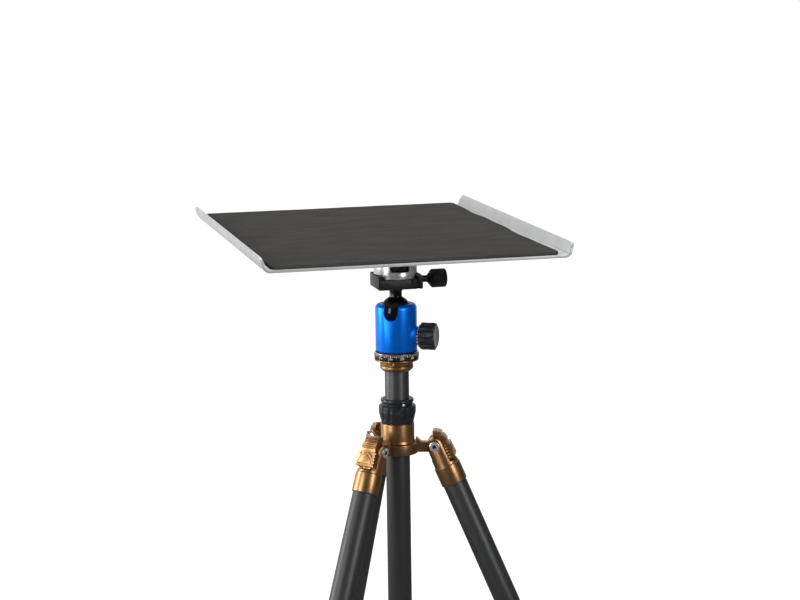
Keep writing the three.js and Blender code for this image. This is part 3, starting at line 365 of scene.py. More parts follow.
def piece(name, bm, place, body, slot, replaces=(), edge=0.0, edge_angle=32, sharp=28):
    """Adds a finished piece: its edges are eased, it rides a body and takes its slot's material."""
    bmesh.ops.remove_doubles(bm, verts=bm.verts, dist=WELD)
    draft = as_object(bm)
    if edge:
        modifier = draft.modifiers.new("edge", "BEVEL")
        modifier.width = edge
        modifier.segments = 2
        modifier.limit_method = "ANGLE"
        modifier.angle_limit = math.radians(edge_angle)
        modifier.use_clamp_overlap = False
        modifier.miter_outer = "MITER_ARC"
    mesh = evaluated(draft)
    mesh.transform(Matrix.Scale(MM, 4) @ place)
    mesh.name = name
    mesh.shade_smooth()
    mesh.set_sharp_from_angle(angle=math.radians(sharp))
    mesh.materials.clear()
    mesh.materials.append(FINISHES[slot])
    made = added(name, mesh)
    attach(made, body)
    if replaces:
        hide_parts(*replaces)
    return made


# Materials
class Nodes:
    """A node tree, with short calls that add nodes and return what comes out of them."""

    def __init__(self, tree):
        self.tree = tree

    def node(self, kind, **settings):
        made = self.tree.nodes.new(kind)
        for key, value in settings.items():
            if key in made.inputs:
                made.inputs[key].default_value = value
            else:
                setattr(made, key, value)
        return made

    def feed(self, value, target):
        """Links another node's output to the input, or sets it to a number."""
        if isinstance(value, bpy.types.NodeSocket):
            self.tree.links.new(value, target)
        else:
            target.default_value = value

    def maths(self, operation, first, second):
        made = self.node("ShaderNodeMath", operation=operation)
        self.feed(first, made.inputs[0])
        self.feed(second, made.inputs[1])
        return made.outputs[0]

    def vector_maths(self, operation, first, second=(0, 0, 0)):
        """The node itself, because some operations give a vector and others a value."""
        made = self.node("ShaderNodeVectorMath", operation=operation)
        self.feed(first, made.inputs[0])
        self.feed(second, made.inputs[1])
        return made

    def mixed(self, share, first, second):
        made = self.node("ShaderNodeMix")
        self.feed(share, made.inputs[0])
        self.feed(first, made.inputs[2])
        self.feed(second, made.inputs[3])
        return made.outputs[0]

    def spread(self, value, start, end, lowest=0.3, highest=0.7, **settings):
        """The start where the value is lowest and the end where it is highest."""
        made = self.node("ShaderNodeMapRange", **settings)
        made.inputs["From Min"].default_value = lowest
        made.inputs["From Max"].default_value = highest
        made.inputs["To Min"].default_value = start
        made.inputs["To Max"].default_value = end
        self.feed(value, made.inputs["Value"])
        return made.outputs["Result"]

    def faded(self, place, operation, other, nearest, furthest, dimmest):
        """From the dimmest level to 1, along a direction or with the distance from a point."""
        along = self.vector_maths(operation, place, other).outputs["Value"]
        return self.spread(along, dimmest, 1, nearest, furthest, interpolation_type="SMOOTHSTEP")

    def straight_on(self, path):
        """1 for rays from the camera and for those that pass through glass."""
        return self.maths("MAXIMUM", path.outputs["Is Camera Ray"], path.outputs["Is Transmission Ray"])


class Finish(Nodes):
    """A material: a base shader and short calls that add detail to it."""

    def __init__(self, name, color, roughness, metallic=0.0, specular=0.5):
        self.material = bpy.data.materials.new(name)
        self.material.use_nodes = True
        super().__init__(self.material.node_tree)
        self.shader = self.tree.nodes["Principled BSDF"]
        self.color = color
        self.roughness = roughness
        self.normal = None
        values = {"Base Color": (*color, 1), "Roughness": roughness, "Metallic": metallic,
                  "Specular IOR Level": specular}
        for socket, value in values.items():
            self.shader.inputs[socket].default_value = value

    def coordinates(self, stretch=(1, 1, 1), uv_map=None):
        """Millimetres in the object's own frame, or on the map of a turned piece, scaled by the stretch."""
        if uv_map:
            source = self.node("ShaderNodeUVMap", uv_map=uv_map).outputs["UV"]
            unit = 1
        else:
            source = self.node("ShaderNodeTexCoord").outputs["Object"]
            unit = 1 / MM
        mapping = self.node("ShaderNodeMapping")
        mapping.inputs["Scale"].default_value = [unit * factor for factor in stretch]
        self.feed(source, mapping.inputs["Vector"])
        return mapping.outputs["Vector"]

    def noise(self, size, detail=3.0, stretch=(1, 1, 1), uv_map=None):
        """Noise whose features are about the size given, in millimetres."""
        made = self.node("ShaderNodeTexNoise", Scale=1 / size, Detail=detail)
        self.feed(self.coordinates(stretch, uv_map), made.inputs["Vector"])
        return made.outputs["Fac"]

    def bands(self, direction, scale, distortion, stretch=(1, 1, 1), uv_map=None):
        """Even bands like the threads of a cloth."""
        made = self.node("ShaderNodeTexWave", wave_type="BANDS", bands_direction=direction, Scale=scale,
                         Distortion=distortion, Detail=1.0)
        self.feed(self.coordinates(stretch, uv_map), made.inputs["Vector"])
        return made.outputs["Fac"]

    def vary_roughness(self, value, amount):
        varied = self.spread(value, self.roughness - amount, self.roughness + amount)
        self.feed(varied, self.shader.inputs["Roughness"])

    def vary_color(self, value, other, lowest=0.35, highest=0.65):
        """Mixes the base colour towards the other one where the value is high."""
        mix = self.node("ShaderNodeMix", data_type="RGBA")
        mix.inputs[6].default_value = (*self.color, 1)
        mix.inputs[7].default_value = (*other, 1)
        self.feed(self.spread(value, 0, 1, lowest, highest), mix.inputs[0])
        self.feed(mix.outputs[2], self.shader.inputs["Base Color"])

    def bump(self, value, depth, strength=1.0):
        """Raises the surface by the depth, in millimetres, where the value is 1."""
        made = self.node("ShaderNodeBump", Strength=strength, Distance=depth * MM)
        self.feed(value, made.inputs["Height"])
        if self.normal:
            self.feed(self.normal, made.inputs["Normal"])
        self.normal = made.outputs["Normal"]
        self.feed(self.normal, self.shader.inputs["Normal"])


def satin_aluminium():
    finish = Finish("satin_aluminium", (0.37, 0.38, 0.38), 0.42, 0.4)
    grain = finish.noise(0.35, 2, (1, 0.12, 1))
    finish.vary_roughness(grain, 0.07)
    finish.vary_color(finish.noise(28, 4), (0.42, 0.43, 0.43))
    finish.bump(grain, 0.01, 0.6)
    return finish.material


def black_cloth():
    finish = Finish("black_cloth", (0.039, 0.0378, 0.0345), 0.95, specular=0.06)
    weave = finish.maths("MULTIPLY", finish.bands("X", 0.42, 1.4), finish.bands("Y", 0.5, 1.2))
    finish.vary_color(finish.noise(9, 5, (0.25, 1, 1)), (0.053, 0.0515, 0.047), 0.3, 0.75)
    finish.vary_roughness(finish.noise(3), 0.05)
    finish.bump(weave, 0.16, 0.7)
    finish.bump(finish.noise(0.9, 4), 0.12, 0.6)
    return finish.material


def bright_steel():
    finish = Finish("bright_steel", (0.76, 0.77, 0.775), 0.26, 0.8)
    finish.vary_roughness(finish.noise(0.5, 3), 0.05)
    finish.vary_color(finish.noise(12, 3), (0.7, 0.72, 0.725))
    finish.bump(finish.noise(0.25, 2), 0.003, 0.15)
    return finish.material


def black_anodised():
    finish = Finish("black_anodised", (0.009, 0.009, 0.0095), 0.46, 0.3, specular=0.4)
    grain = finish.noise(0.22, 2)
    finish.vary_roughness(grain, 0.06)
    finish.vary_color(finish.noise(6, 4), (0.014, 0.014, 0.015))
    finish.bump(grain, 0.012, 0.7)
    return finish.material


def gloss_black():
    finish = Finish("gloss_black", (0.004, 0.004, 0.0045), 0.14, 0.2)
    finish.vary_roughness(finish.noise(2.5, 4), 0.04)
    finish.bump(finish.noise(0.3, 2), 0.002, 0.5)
    return finish.material


def blue_anodised():
    finish = Finish("blue_anodised", (0.001, 0.19, 0.93), 0.33, 0.8)
    grain = finish.noise(0.2, 2)
    finish.vary_roughness(grain, 0.05)
    finish.vary_color(finish.noise(9, 3), (0.0015, 0.21, 0.97))
    finish.bump(grain, 0.008, 0.6)
    return finish.material


def bronze_anodised():
    finish = Finish("bronze_anodised", (0.4, 0.225, 0.105), 0.34, 0.93)
    grain = finish.noise(0.2, 2)
    finish.vary_roughness(grain, 0.06)
    finish.vary_color(finish.noise(8, 4), (0.35, 0.19, 0.085))
    finish.bump(grain, 0.01, 0.7)
    return finish.material


def carbon_tube():
    finish = Finish("carbon_tube", (0.017, 0.0175, 0.0175), 0.42)
    strands = [finish.bands("DIAGONAL", 0.55, 0.3, (0.5, lean, 0), "turned") for lean in (0.5, -0.5)]
    weave = finish.maths("MULTIPLY", *strands)
    finish.vary_color(weave, (0.03, 0.031, 0.031), 0, 1)
    finish.vary_roughness(finish.noise(1.2, 3), 0.04)
    finish.bump(weave, 0.01, 0.4)
    return finish.material


def grey_aluminium():
    """Spun in circles about the ball lock's axis."""
    finish = Finish("grey_aluminium", (0.2, 0.2, 0.192), 0.32, 0.9)
    place = finish.node("ShaderNodeTexCoord").outputs["Object"]
    offset = finish.vector_maths("SUBTRACT", place, joint_point("ball_lock_turn") * MM)
    across = finish.vector_maths("CROSS_PRODUCT", offset.outputs[0], joint_axis("ball_lock_turn"))
    radius = finish.vector_maths("LENGTH", across.outputs[0])
    rings = finish.node("ShaderNodeTexNoise", noise_dimensions="1D", Scale=3.2 / MM, Detail=2.0)
    finish.feed(radius.outputs["Value"], rings.inputs["W"])
    finish.vary_color(rings.outputs["Fac"], (0.3, 0.3, 0.29))
    finish.vary_roughness(rings.outputs["Fac"], 0.08)
    finish.bump(rings.outputs["Fac"], 0.02, 0.8)
    return finish.material


def black_nylon():
    finish = Finish("black_nylon", (0.02, 0.02, 0.022), 0.55)
    finish.vary_roughness(finish.noise(0.8, 3), 0.08)
    finish.vary_color(finish.noise(5), (0.03, 0.03, 0.032))
    finish.bump(finish.noise(0.3, 3), 0.02)
    return finish.material


def black_rubber():
    finish = Finish("black_rubber", (0.006, 0.0072, 0.01), 0.38)
    finish.vary_roughness(finish.noise(1.6, 4), 0.1)
    finish.vary_color(finish.noise(4, 4), (0.012, 0.0135, 0.017))
    finish.bump(finish.noise(0.35, 3), 0.025)
    return finish.material


def white_mark():
    """Paint in the engraved dial marks."""
    finish = Finish("white_mark", (0.72, 0.7, 0.64), 0.5)
    finish.vary_color(finish.noise(0.6, 3), (0.55, 0.53, 0.48))
    return finish.material


def copper_edge():
    """The bright chamfer that is turned after anodising."""
    finish = Finish("copper_edge", (0.78, 0.5, 0.45), 0.2, 1.0)
    finish.vary_roughness(finish.noise(0.5, 2), 0.05)
    finish.vary_color(finish.noise(5), (0.7, 0.42, 0.36))
    return finish.material


FINISHES = {make.__name__: make() for make in (
    satin_aluminium, black_cloth, bright_steel, black_anodised, gloss_black, blue_anodised, bronze_anodised,
    carbon_tube, grey_aluminium, black_nylon, black_rubber)}
WHITE_MARK = white_mark()
COPPER_EDGE = copper_edge()

# Tray and pad
TRAY_WIDTH, TRAY_DEPTH, TRAY_THICKNESS = 305, 406, 3
TRAY_FRONT = -102
TRAY_BACK = TRAY_FRONT + TRAY_DEPTH
TRAY_LIP_HEIGHT, TRAY_LIP_LEAN, TRAY_BEND = 14, 20, 4
TRAY_LIP_CORNER = 10
PAD_THICKNESS, PAD_INSET, PAD_CORNER, PAD_SINK = 3, 1.5, 7, 0.35
PAD_TRIM, PAD_TRIM_FADE = 5, 0.6  # at the front, and how much less it is at the back
PAD_ROWS, PAD_COLUMNS = 90, 74
PAD_WANDER = ((1.1, 13, 0.6), (0.6, 31, 0))  # size, speed and start of the right edge's waves
PAD_RIPPLES = ((0.22, 34, 21, 0.5), (0.1, 9, 9, 4))  # height, lengths across and along, place in the noise
SPIGOT_RADIUS = 13


def tray_section():
    """Outer and inner points of the right half, from the middle of the plate out to the lip's tip."""
    turn = 90 - TRAY_LIP_LEAN
    outer_radius = TRAY_BEND + TRAY_THICKNESS
    bend_x = TRAY_WIDTH / 2 - outer_radius * math.tan(math.radians(turn / 2))
    lean = math.radians(TRAY_LIP_LEAN)
    outer = arc(bend_x, outer_radius, outer_radius, -90, turn - 90, 12)
    inner = arc(bend_x, outer_radius, TRAY_BEND, -90, turn - 90, 12)
    rise = (TRAY_LIP_HEIGHT - outer[-1][1]) / math.cos(lean)
    steps = 14
    for points in (outer, inner):
        root_x, root_z = points[-1]
        for i in range(1, steps + 1):
            run = rise * i / steps
            points.append((root_x + run * math.sin(lean), root_z + run * math.cos(lean)))
    return bend_x, outer, inner


def make_tray():
    _, outer, inner = tray_section()
    section = [(-x, z) for x, z in reversed(outer)] + outer + inner[::-1] + [(-x, z) for x, z in inner]
    lip_top = max(z for _, z in inner)
    bm = bmesh.new()
    front_ring, back_ring = [], []
    for x, z in section:
        pull = round_off(lip_top - z, TRAY_LIP_CORNER)
        front_ring.append(bm.verts.new((x, TRAY_FRONT + pull, z)))
        back_ring.append(bm.verts.new((x, TRAY_BACK - pull, z)))
    count = len(section)
    for i in range(count):
        j = (i + 1) % count
        bm.faces.new((front_ring[i], front_ring[j], back_ring[j], back_ring[i]))
    for ring in (front_ring, back_ring):
        for i in range(count // 2 - 1):
            bm.faces.new((ring[i], ring[i + 1], ring[count - 2 - i], ring[count - 1 - i]))
    bmesh.ops.recalc_face_normals(bm, faces=bm.faces)
    plate = cut(bm, rod(SPIGOT_RADIUS + GAP, -OVER, TRAY_THICKNESS + OVER))
    piece("tray_plate", plate, on_column(low("tray")), "tray", "satin_aluminium", ["tray"], edge=0.35)


def pad_rows(front, back):
    """Places along the pad, closer together round its corners."""
    start, end = front + PAD_CORNER, back - PAD_CORNER
    middle = [start + (end - start) * i / PAD_ROWS for i in range(1, PAD_ROWS)]
    near = [y for _, y in arc(0, start, PAD_CORNER, -90, 0)]
    far = [y for _, y in arc(0, end, PAD_CORNER, 0, 90)]
    return near + middle + far


def pad_ripple(x, y):
    return sum(height * noise.noise((x / across, y / along, place))
               for height, across, along, place in PAD_RIPPLES)


def make_pad():
    """A foam mat with a knit face. Its right edge is trimmed a little short and wanders."""
    half = tray_section()[0] - PAD_INSET
    front, back = TRAY_FRONT + PAD_INSET, TRAY_BACK - PAD_INSET
    bottom = TRAY_THICKNESS + GAP
    top = bottom + PAD_THICKNESS - PAD_SINK
    bm = bmesh.new()
    grid = []
    for y in pad_rows(front, back):
        share = (y - front) / (back - front)
        pull = round_off(min(y - front, back - y), PAD_CORNER)
        wander = sum(size * math.sin(share * speed + start) for size, speed, start in PAD_WANDER)
        right = half - pull - PAD_TRIM * (1 - PAD_TRIM_FADE * share) + wander
        left = pull - half
        across = (left + (right - left) * i / PAD_COLUMNS for i in range(PAD_COLUMNS + 1))
        grid.append([bm.verts.new((x, y, top + pad_ripple(x, y))) for x in across])
    for lower, upper in zip(grid, grid[1:]):
        for i in range(PAD_COLUMNS):
            bm.faces.new((lower[i], lower[i + 1], upper[i + 1], upper[i]))
    rim = [edge for edge in bm.edges if edge.is_boundary]
    skirt = bmesh.ops.extrude_edge_only(bm, edges=rim)["geom"]
    for vertex in (item for item in skirt if isinstance(item, bmesh.types.BMVert)):
        vertex.co.z = bottom
    loop = [item for item in skirt if isinstance(item, bmesh.types.BMEdge) and item.is_boundary]
    bmesh.ops.contextual_create(bm, geom=loop)
    bmesh.ops.recalc_face_normals(bm, faces=bm.faces)
    pad = piece("knit_pad", bm, on_column(low("tray")), "tray", "black_cloth", ["pad"],
                edge=0.7, edge_angle=55, sharp=60)


# Mount under the tray
PLATE_RADIUS, PLATE_THICKNESS, PLATE_GROOVE, PLATE_GROOVE_DEPTH = 22, 6, 0.4, 0.5
SCREW_RADIUS = 4.75
PUCK_RADIUS, PUCK_HEIGHT = 22, 20
WINDOW_SILL, WINDOW_HEIGHT, WINDOW_WIDTH, WINDOW_CORNER = 7, 9, 20, 1.6
FOOT_HALF, FOOT_RIM, NECK_BAND = 18.6, 1.1, 0.4
KNURL_DEPTH = 0.5
KNURL_STEPS = 6  # outline points for each tooth
WHEEL_RADIUS, WHEEL_TEETH, WHEEL_CHAMFER = 17, 60, 0.8
THREAD_PITCH, THREAD_DEPTH = 1.27, 0.6
CLAMP_HEIGHT, CLAMP_BASE = 14, 10.4
SHOULDER = CLAMP_HEIGHT - CLAMP_BASE
NECK_RISE = SHOULDER - NECK_BAND
NECK_HALF = FOOT_HALF - (NECK_RISE - FOOT_RIM)


def knurled(radius, teeth, share):
    return fluted(radius, teeth, KNURL_DEPTH, share, teeth * KNURL_STEPS)


def make_thread_plate():
    top = PLATE_THICKNESS + GAP + TRAY_THICKNESS
    bore = SCREW_RADIUS + RUN
    middle = PLATE_THICKNESS / 2
    profile = eased([
        (bore, 0, 0.5), (PLATE_RADIUS - 0.2, 0, 0.7), (PLATE_RADIUS, middle - PLATE_GROOVE, 0.2),
        (PLATE_RADIUS - PLATE_GROOVE_DEPTH, middle, 0.2), (PLATE_RADIUS, middle + PLATE_GROOVE, 0.2),
        (PLATE_RADIUS, PLATE_THICKNESS, 0.6), (SPIGOT_RADIUS, PLATE_THICKNESS, 0.2),
        (SPIGOT_RADIUS, top, 0.4), (bore, top, 0.4)], closed=True)
    piece("thread_plate", lathe(profile), on_column(low("tray_thread_plate")), "tray", "bright_steel",
          ["tray_thread_plate"])


def foot_flanks():
    """The two sides that leave the puck's dovetail foot."""
    reach = PUCK_RADIUS + OVER
    side = [(FOOT_HALF, -OVER), (FOOT_HALF, FOOT_RIM), (NECK_HALF, NECK_RISE), (NECK_HALF, SHOULDER + GAP),
            (reach, SHOULDER + GAP), (reach, -OVER)]
    return [turned(upright(side, -reach, reach), degrees) for degrees in (0, 180)]


def make_puck():
    drum = lathe(eased([(0, 0), (PUCK_RADIUS, 0, 0.4), (PUCK_RADIUS, PUCK_HEIGHT, 0.9), (0, PUCK_HEIGHT)]))
    sill, lintel = WINDOW_SILL, WINDOW_SILL + WINDOW_HEIGHT
    reach = PUCK_RADIUS + OVER
    half = WINDOW_WIDTH / 2
    corners = [(-half, sill), (half, sill), (half, lintel), (-half, lintel)]
    window = eased([(x, z, WINDOW_CORNER) for x, z in corners], closed=True)
    chamber = rod(WHEEL_RADIUS + RUN, sill, lintel)
    screw_way = rod(SCREW_RADIUS + RUN, lintel - OVER, PUCK_HEIGHT + OVER, SMALL_ROUND)
    body = cut(drum, *foot_flanks(), chamber, upright(window, -reach, reach), screw_way)
    piece("quick_release_puck", body, on_column(low("mount_puck")), "tray", "bright_steel", ["mount_puck"],
          edge=0.25)


def make_thumbwheel():
    bottom, top = WINDOW_SILL + RUN, WINDOW_SILL + WINDOW_HEIGHT - RUN
    wheel = inset_stack(knurled(WHEEL_RADIUS, WHEEL_TEETH, 0.9), [
        (bottom, WHEEL_CHAMFER), (bottom + WHEEL_CHAMFER, 0), (top - WHEEL_CHAMFER, 0), (top, WHEEL_CHAMFER)])
    screw_top = PUCK_HEIGHT + GAP + PLATE_THICKNESS + GAP + TRAY_THICKNESS
    profile = [(0, top - RUN), (SCREW_RADIUS, top - RUN), (SCREW_RADIUS, PUCK_HEIGHT)]
    height = PUCK_HEIGHT
    while height + THREAD_PITCH < screw_top:
        profile.append((SCREW_RADIUS - THREAD_DEPTH, height + THREAD_PITCH / 2))
        height += THREAD_PITCH
        profile.append((SCREW_RADIUS, height))
    profile += [(SCREW_RADIUS - 0.5, screw_top), (0, screw_top)]
    piece("thumbwheel", join(wheel, lathe(profile, SMALL_ROUND)), on_column(low("mount_puck")), "thumbwheel",
          "black_anodised", ["puck_thumbwheel"], sharp=40)


# Quick-release clamp
CLAMP_LENGTH, CLAMP_FIXED, CLAMP_MOVING = 38, 22, 24
CLAMP_SPLIT, CLAMP_BEVEL, CLAMP_NOTCH = 12.2, 1.2, 2.2
GUIDE_RADIUS, GUIDE_SPACING, GUIDE_HEIGHT = 1.8, 25, 4.4
CLAMP_SCREW_RADIUS, CLAMP_SCREW_HEIGHT, CLAMP_SCREW_BITE = 2.5, 7, 4.5
BOLT_RADIUS, BOLT_HEAD_RADIUS, BOLT_HEAD_HEIGHT, BOLT_BITE = 3, 5.6, 2.8, 9
CLAMP_NECK_RADIUS, CLAMP_NECK, CLAMP_WASHER, CLAMP_WASHER_THICKNESS = 3.5, 11.5, 5.1, 1.4
CLAMP_FLARE, CLAMP_FLARE_LENGTH = 2, 3  # where the neck widens towards the knob
CLAMP_KNOB_RADIUS, CLAMP_KNOB, CLAMP_KNOB_TEETH, CLAMP_KNOB_ROOT, CLAMP_KNOB_BEVEL = 9.5, 16.5, 44, 2, 1
CLAMP_GROOVE, CLAMP_GROOVE_HALF, CLAMP_GROOVE_DEPTH = 2.6, 0.6, 0.75  # its middle lies back from the end
CLAMP_DISH_RIM, CLAMP_DISH_DEPTH = 3.2, 0.7


def channel_side():
    """The channel's right side: the edges of its floor, its rim and its neck."""
    return [(FOOT_HALF + GAP, CLAMP_BASE), (FOOT_HALF + GAP, CLAMP_BASE + FOOT_RIM),
            (NECK_HALF + GAP, CLAMP_BASE + NECK_RISE)]


def guide_ways(start, end, radius):
    return [rod_x(radius, start, end, side * GUIDE_SPACING / 2, GUIDE_HEIGHT) for side in (-1, 1)]


def make_clamp_body():
    floor_edge, rim_edge, neck_edge = [(-x, z) for x, z in channel_side()]
    section = eased([
        (-CLAMP_FIXED, 0, CLAMP_BEVEL), (CLAMP_SPLIT, 0), (CLAMP_SPLIT, CLAMP_BASE), floor_edge, rim_edge,
        neck_edge, (neck_edge[0], CLAMP_HEIGHT), (-CLAMP_FIXED, CLAMP_HEIGHT, CLAMP_BEVEL)], closed=True)
    bolt, head = BOLT_RADIUS + GAP, BOLT_HEAD_RADIUS + GAP
    bolt_way = lathe([
        (0, -OVER), (bolt, -OVER), (bolt, CLAMP_BASE - BOLT_HEAD_HEIGHT - GAP), (head, CLAMP_BASE),
        (head, CLAMP_BASE + OVER), (0, CLAMP_BASE + OVER)], SMALL_ROUND)
    screw_way = rod_x(CLAMP_SCREW_RADIUS + RUN, CLAMP_SPLIT - CLAMP_SCREW_BITE - RUN, CLAMP_SPLIT + OVER,
                      z=CLAMP_SCREW_HEIGHT)
    body = cut(upright(section, -CLAMP_LENGTH / 2, CLAMP_LENGTH / 2), bolt_way, screw_way,
               *guide_ways(CLAMP_SPLIT / 4 - GAP, CLAMP_SPLIT + OVER, GUIDE_RADIUS + GAP))
    piece("clamp_cheek", body, on_column(low("clamp_body")), "clamp", "black_anodised", ["clamp_body"],
          edge=0.35)


def make_clamp_jaw():
    left = CLAMP_SPLIT + RUN
    floor_edge, rim_edge, neck_edge = channel_side()
    notch_x = (floor_edge[0] + CLAMP_MOVING) / 2 - CLAMP_NOTCH
    section = eased([
        (left, 0), (notch_x - CLAMP_NOTCH, 0, 0.3), (notch_x, CLAMP_NOTCH, 0.4),
        (notch_x + CLAMP_NOTCH, 0, 0.3), (CLAMP_MOVING, 0, CLAMP_BEVEL),
        (CLAMP_MOVING, CLAMP_HEIGHT, CLAMP_BEVEL), (neck_edge[0], CLAMP_HEIGHT), neck_edge, rim_edge,
        floor_edge, (left, CLAMP_BASE)], closed=True)
    screw_way = rod_x(CLAMP_SCREW_RADIUS + RUN, left - OVER, CLAMP_MOVING + OVER, z=CLAMP_SCREW_HEIGHT)
    jaw = cut(upright(section, -CLAMP_LENGTH / 2, CLAMP_LENGTH / 2), screw_way,
              *guide_ways(left - OVER, CLAMP_MOVING - CLAMP_BEVEL, GUIDE_RADIUS + RUN))
    piece("clamp_slider", jaw, on_column(low("clamp_jaw")), "clamp_jaw", "black_anodised", ["clamp_jaw"],
          edge=0.35)


def make_clamp_knob():
    bite = CLAMP_SPLIT - CLAMP_SCREW_BITE
    neck_start = CLAMP_MOVING + RUN
    start = neck_start + CLAMP_NECK
    end = start + CLAMP_KNOB
    groove, rim, floor = end - CLAMP_GROOVE, CLAMP_GROOVE_HALF, CLAMP_GROOVE_HALF / 2
    grip = inset_stack(knurled(CLAMP_KNOB_RADIUS, CLAMP_KNOB_TEETH, 0.8), [
        (start, CLAMP_KNOB_ROOT), (start + CLAMP_KNOB_ROOT * 1.1, 0),
        (groove - rim, 0), (groove - floor, CLAMP_GROOVE_DEPTH),
        (groove + floor, CLAMP_GROOVE_DEPTH), (groove + rim, 0),
        (end - CLAMP_KNOB_BEVEL, 0), (end, CLAMP_KNOB_BEVEL * 1.1)])
    washer_end, flare = neck_start + CLAMP_WASHER_THICKNESS, CLAMP_NECK_RADIUS + CLAMP_FLARE
    shaft = lathe(eased([
        (0, bite), (CLAMP_SCREW_RADIUS, bite, 0.4), (CLAMP_SCREW_RADIUS, neck_start),
        (CLAMP_WASHER, neck_start, 0.3), (CLAMP_WASHER, washer_end, 0.5),
        (CLAMP_NECK_RADIUS, washer_end + 0.5, 0.4), (CLAMP_NECK_RADIUS, start - CLAMP_FLARE_LENGTH, 0.5),
        (flare, start - 1.4, 0.6), (flare + 0.4, start + 1), (0, start + 1)]), SMALL_ROUND)
    dish = rod(CLAMP_KNOB_RADIUS - CLAMP_DISH_RIM, end - CLAMP_DISH_DEPTH, end + OVER, SMALL_ROUND)
    knob = along_x(cut(join(grip, shaft), dish))
    piece("clamp_screw_knob", knob, on_column(low("clamp_body") + CLAMP_SCREW_HEIGHT), "clamp_knob",
          "black_anodised", ["clamp_knob"], sharp=35)


# Ball head
BALL_RADIUS, BALL_FLAT = 16, 12.5
STEM_RADIUS, STEM_TOP, STEM_FILLET, STEM_RIM, STEM_RIM_HEIGHT = 6.4, 24.3, 1, 6.9, 3.3
HOUSING_RADIUS, HOUSING_HEIGHT, HOUSING_ROUND, HOUSING_BEVEL = 21.2, 48.8, 4.5, 1.2
BALL_DROP, NOTCH_HALF = 8, 7.4
LOCK_DROP, LOCK_BOSS_RADIUS, LOCK_BOSS_ROOT, LOCK_BOSS_REACH = 33, 9.6, 11.2, 23.4
LOCK_BOSS_TAPER = (HOUSING_RADIUS - 2.6, HOUSING_RADIUS + 0.6)  # through the housing's wall
LOCK_SHAFT, LOCK_TIP, WEDGE_TAIL = 4, 12, 6
SEAT_RADIUS, SEAT_RIM = 13.4, 10
PAN_LOCK_BOSS, PAN_LOCK_REACH, PAN_LOCK_SHAFT, PAN_LOCK_TIP = 5.4, 22.4, 2.4, 12.4
POST_RADIUS, POST_RISE = 9.4, 5.2
RIM_SCREW_RADIUS, RIM_SCREW_PLAY, RIM_SCREW_CIRCLE, RIM_SCREW_DEPTH = 1.7, 0.15, 18.4, 3
RIM_SCREW_SUNK, RIM_SCREW_KEY, RIM_SCREW_KEY_DEPTH = 1.7, 0.85, 0.9
RIM_SCREW_TURNS = (24.6, 127.4)  # from +X, on the side away from the drop notch
BALL_UP, LOCK_UP = HOUSING_HEIGHT - BALL_DROP, HOUSING_HEIGHT - LOCK_DROP


def make_ball():
    meet = math.sqrt(BALL_RADIUS ** 2 - (STEM_RADIUS + STEM_FILLET) ** 2)
    top_angle = math.degrees(math.asin(meet / BALL_RADIUS))
    low_angle = math.degrees(math.asin(BALL_FLAT / BALL_RADIUS))
    sphere = arc(0, 0, BALL_RADIUS, -low_angle, top_angle, 40)
    rim_foot = STEM_TOP - STEM_RIM_HEIGHT
    stem = eased([
        sphere[-1], (STEM_RADIUS, meet + STEM_FILLET * 0.7, 0.9), (STEM_RADIUS, rim_foot - 0.3, 0.3),
        (STEM_RIM, rim_foot, 0.3), (STEM_RIM, STEM_TOP, 0.5), (0, STEM_TOP)])
    body = cut(lathe([(0, -BALL_FLAT)] + sphere + stem[1:]),
               rod(BOLT_RADIUS + GAP, STEM_TOP - BOLT_BITE, STEM_TOP + OVER, SMALL_ROUND))
    piece("ball_and_stem", body, on_column(joint_point("ball_tilt").z), "ball", "gloss_black", ["ball"],
          sharp=40)


def housing_solids(pan_up, pan_turn):
    """The drum, the fairing of the lock knob on its +X side and the boss of the pan lock."""
    shoulder = (HOUSING_RADIUS - HOUSING_ROUND, HOUSING_HEIGHT - HOUSING_ROUND)
    drum = lathe([(0, 0), (HOUSING_RADIUS - HOUSING_BEVEL, 0), (HOUSING_RADIUS, HOUSING_BEVEL)]
                 + arc(*shoulder, HOUSING_ROUND, 0, 90, 10) + [(0, HOUSING_HEIGHT)])
    inside = HOUSING_RADIUS / 2
    taper_start, taper_end = LOCK_BOSS_TAPER
    fairing = lathe(eased([
        (0, inside), (LOCK_BOSS_ROOT, inside), (LOCK_BOSS_ROOT, taper_start, 2),
        (LOCK_BOSS_RADIUS, taper_end, 1.2), (LOCK_BOSS_RADIUS, LOCK_BOSS_REACH, 0.5), (0, LOCK_BOSS_REACH)]))
    pan_boss = rod_x(PAN_LOCK_BOSS, inside, PAN_LOCK_REACH, z=pan_up, ease=0.4)
    return drum, moved(along_x(fairing), z=LOCK_UP), turned(pan_boss, pan_turn)


def housing_rooms(pan_up, pan_turn):
    """Room for the ball, its seat, the stem's drop, the shafts of both knobs and the base's post."""
    cup = BALL_RADIUS + RUN
    cavity = moved(lathe([(0, -cup)] + arc(0, 0, cup, -POLE, POLE, 40) + [(0, cup)]), z=BALL_UP)
    seat = rod(SEAT_RADIUS + GAP, LOCK_UP + LOCK_SHAFT, BALL_UP - SEAT_RIM + OVER)
    drop_top = BALL_DROP + OVER
    drop = arc(0, 0, NOTCH_HALF, 180, 360, 32) + [(NOTCH_HALF, drop_top), (-NOTCH_HALF, drop_top)]
    notch = moved(upright(drop, -HOUSING_RADIUS - OVER, 0), z=BALL_UP)
    lock_way = rod_x(LOCK_SHAFT + RUN, -WEDGE_TAIL - RUN, LOCK_BOSS_REACH + OVER, z=LOCK_UP)
    pan_way = rod_x(PAN_LOCK_SHAFT + RUN, PAN_LOCK_TIP - RUN, PAN_LOCK_REACH + OVER, z=pan_up)
    post_way = rod(POST_RADIUS + RUN, -OVER, POST_RISE + RUN)
    return cavity, seat, notch, lock_way, turned(pan_way, pan_turn), post_way


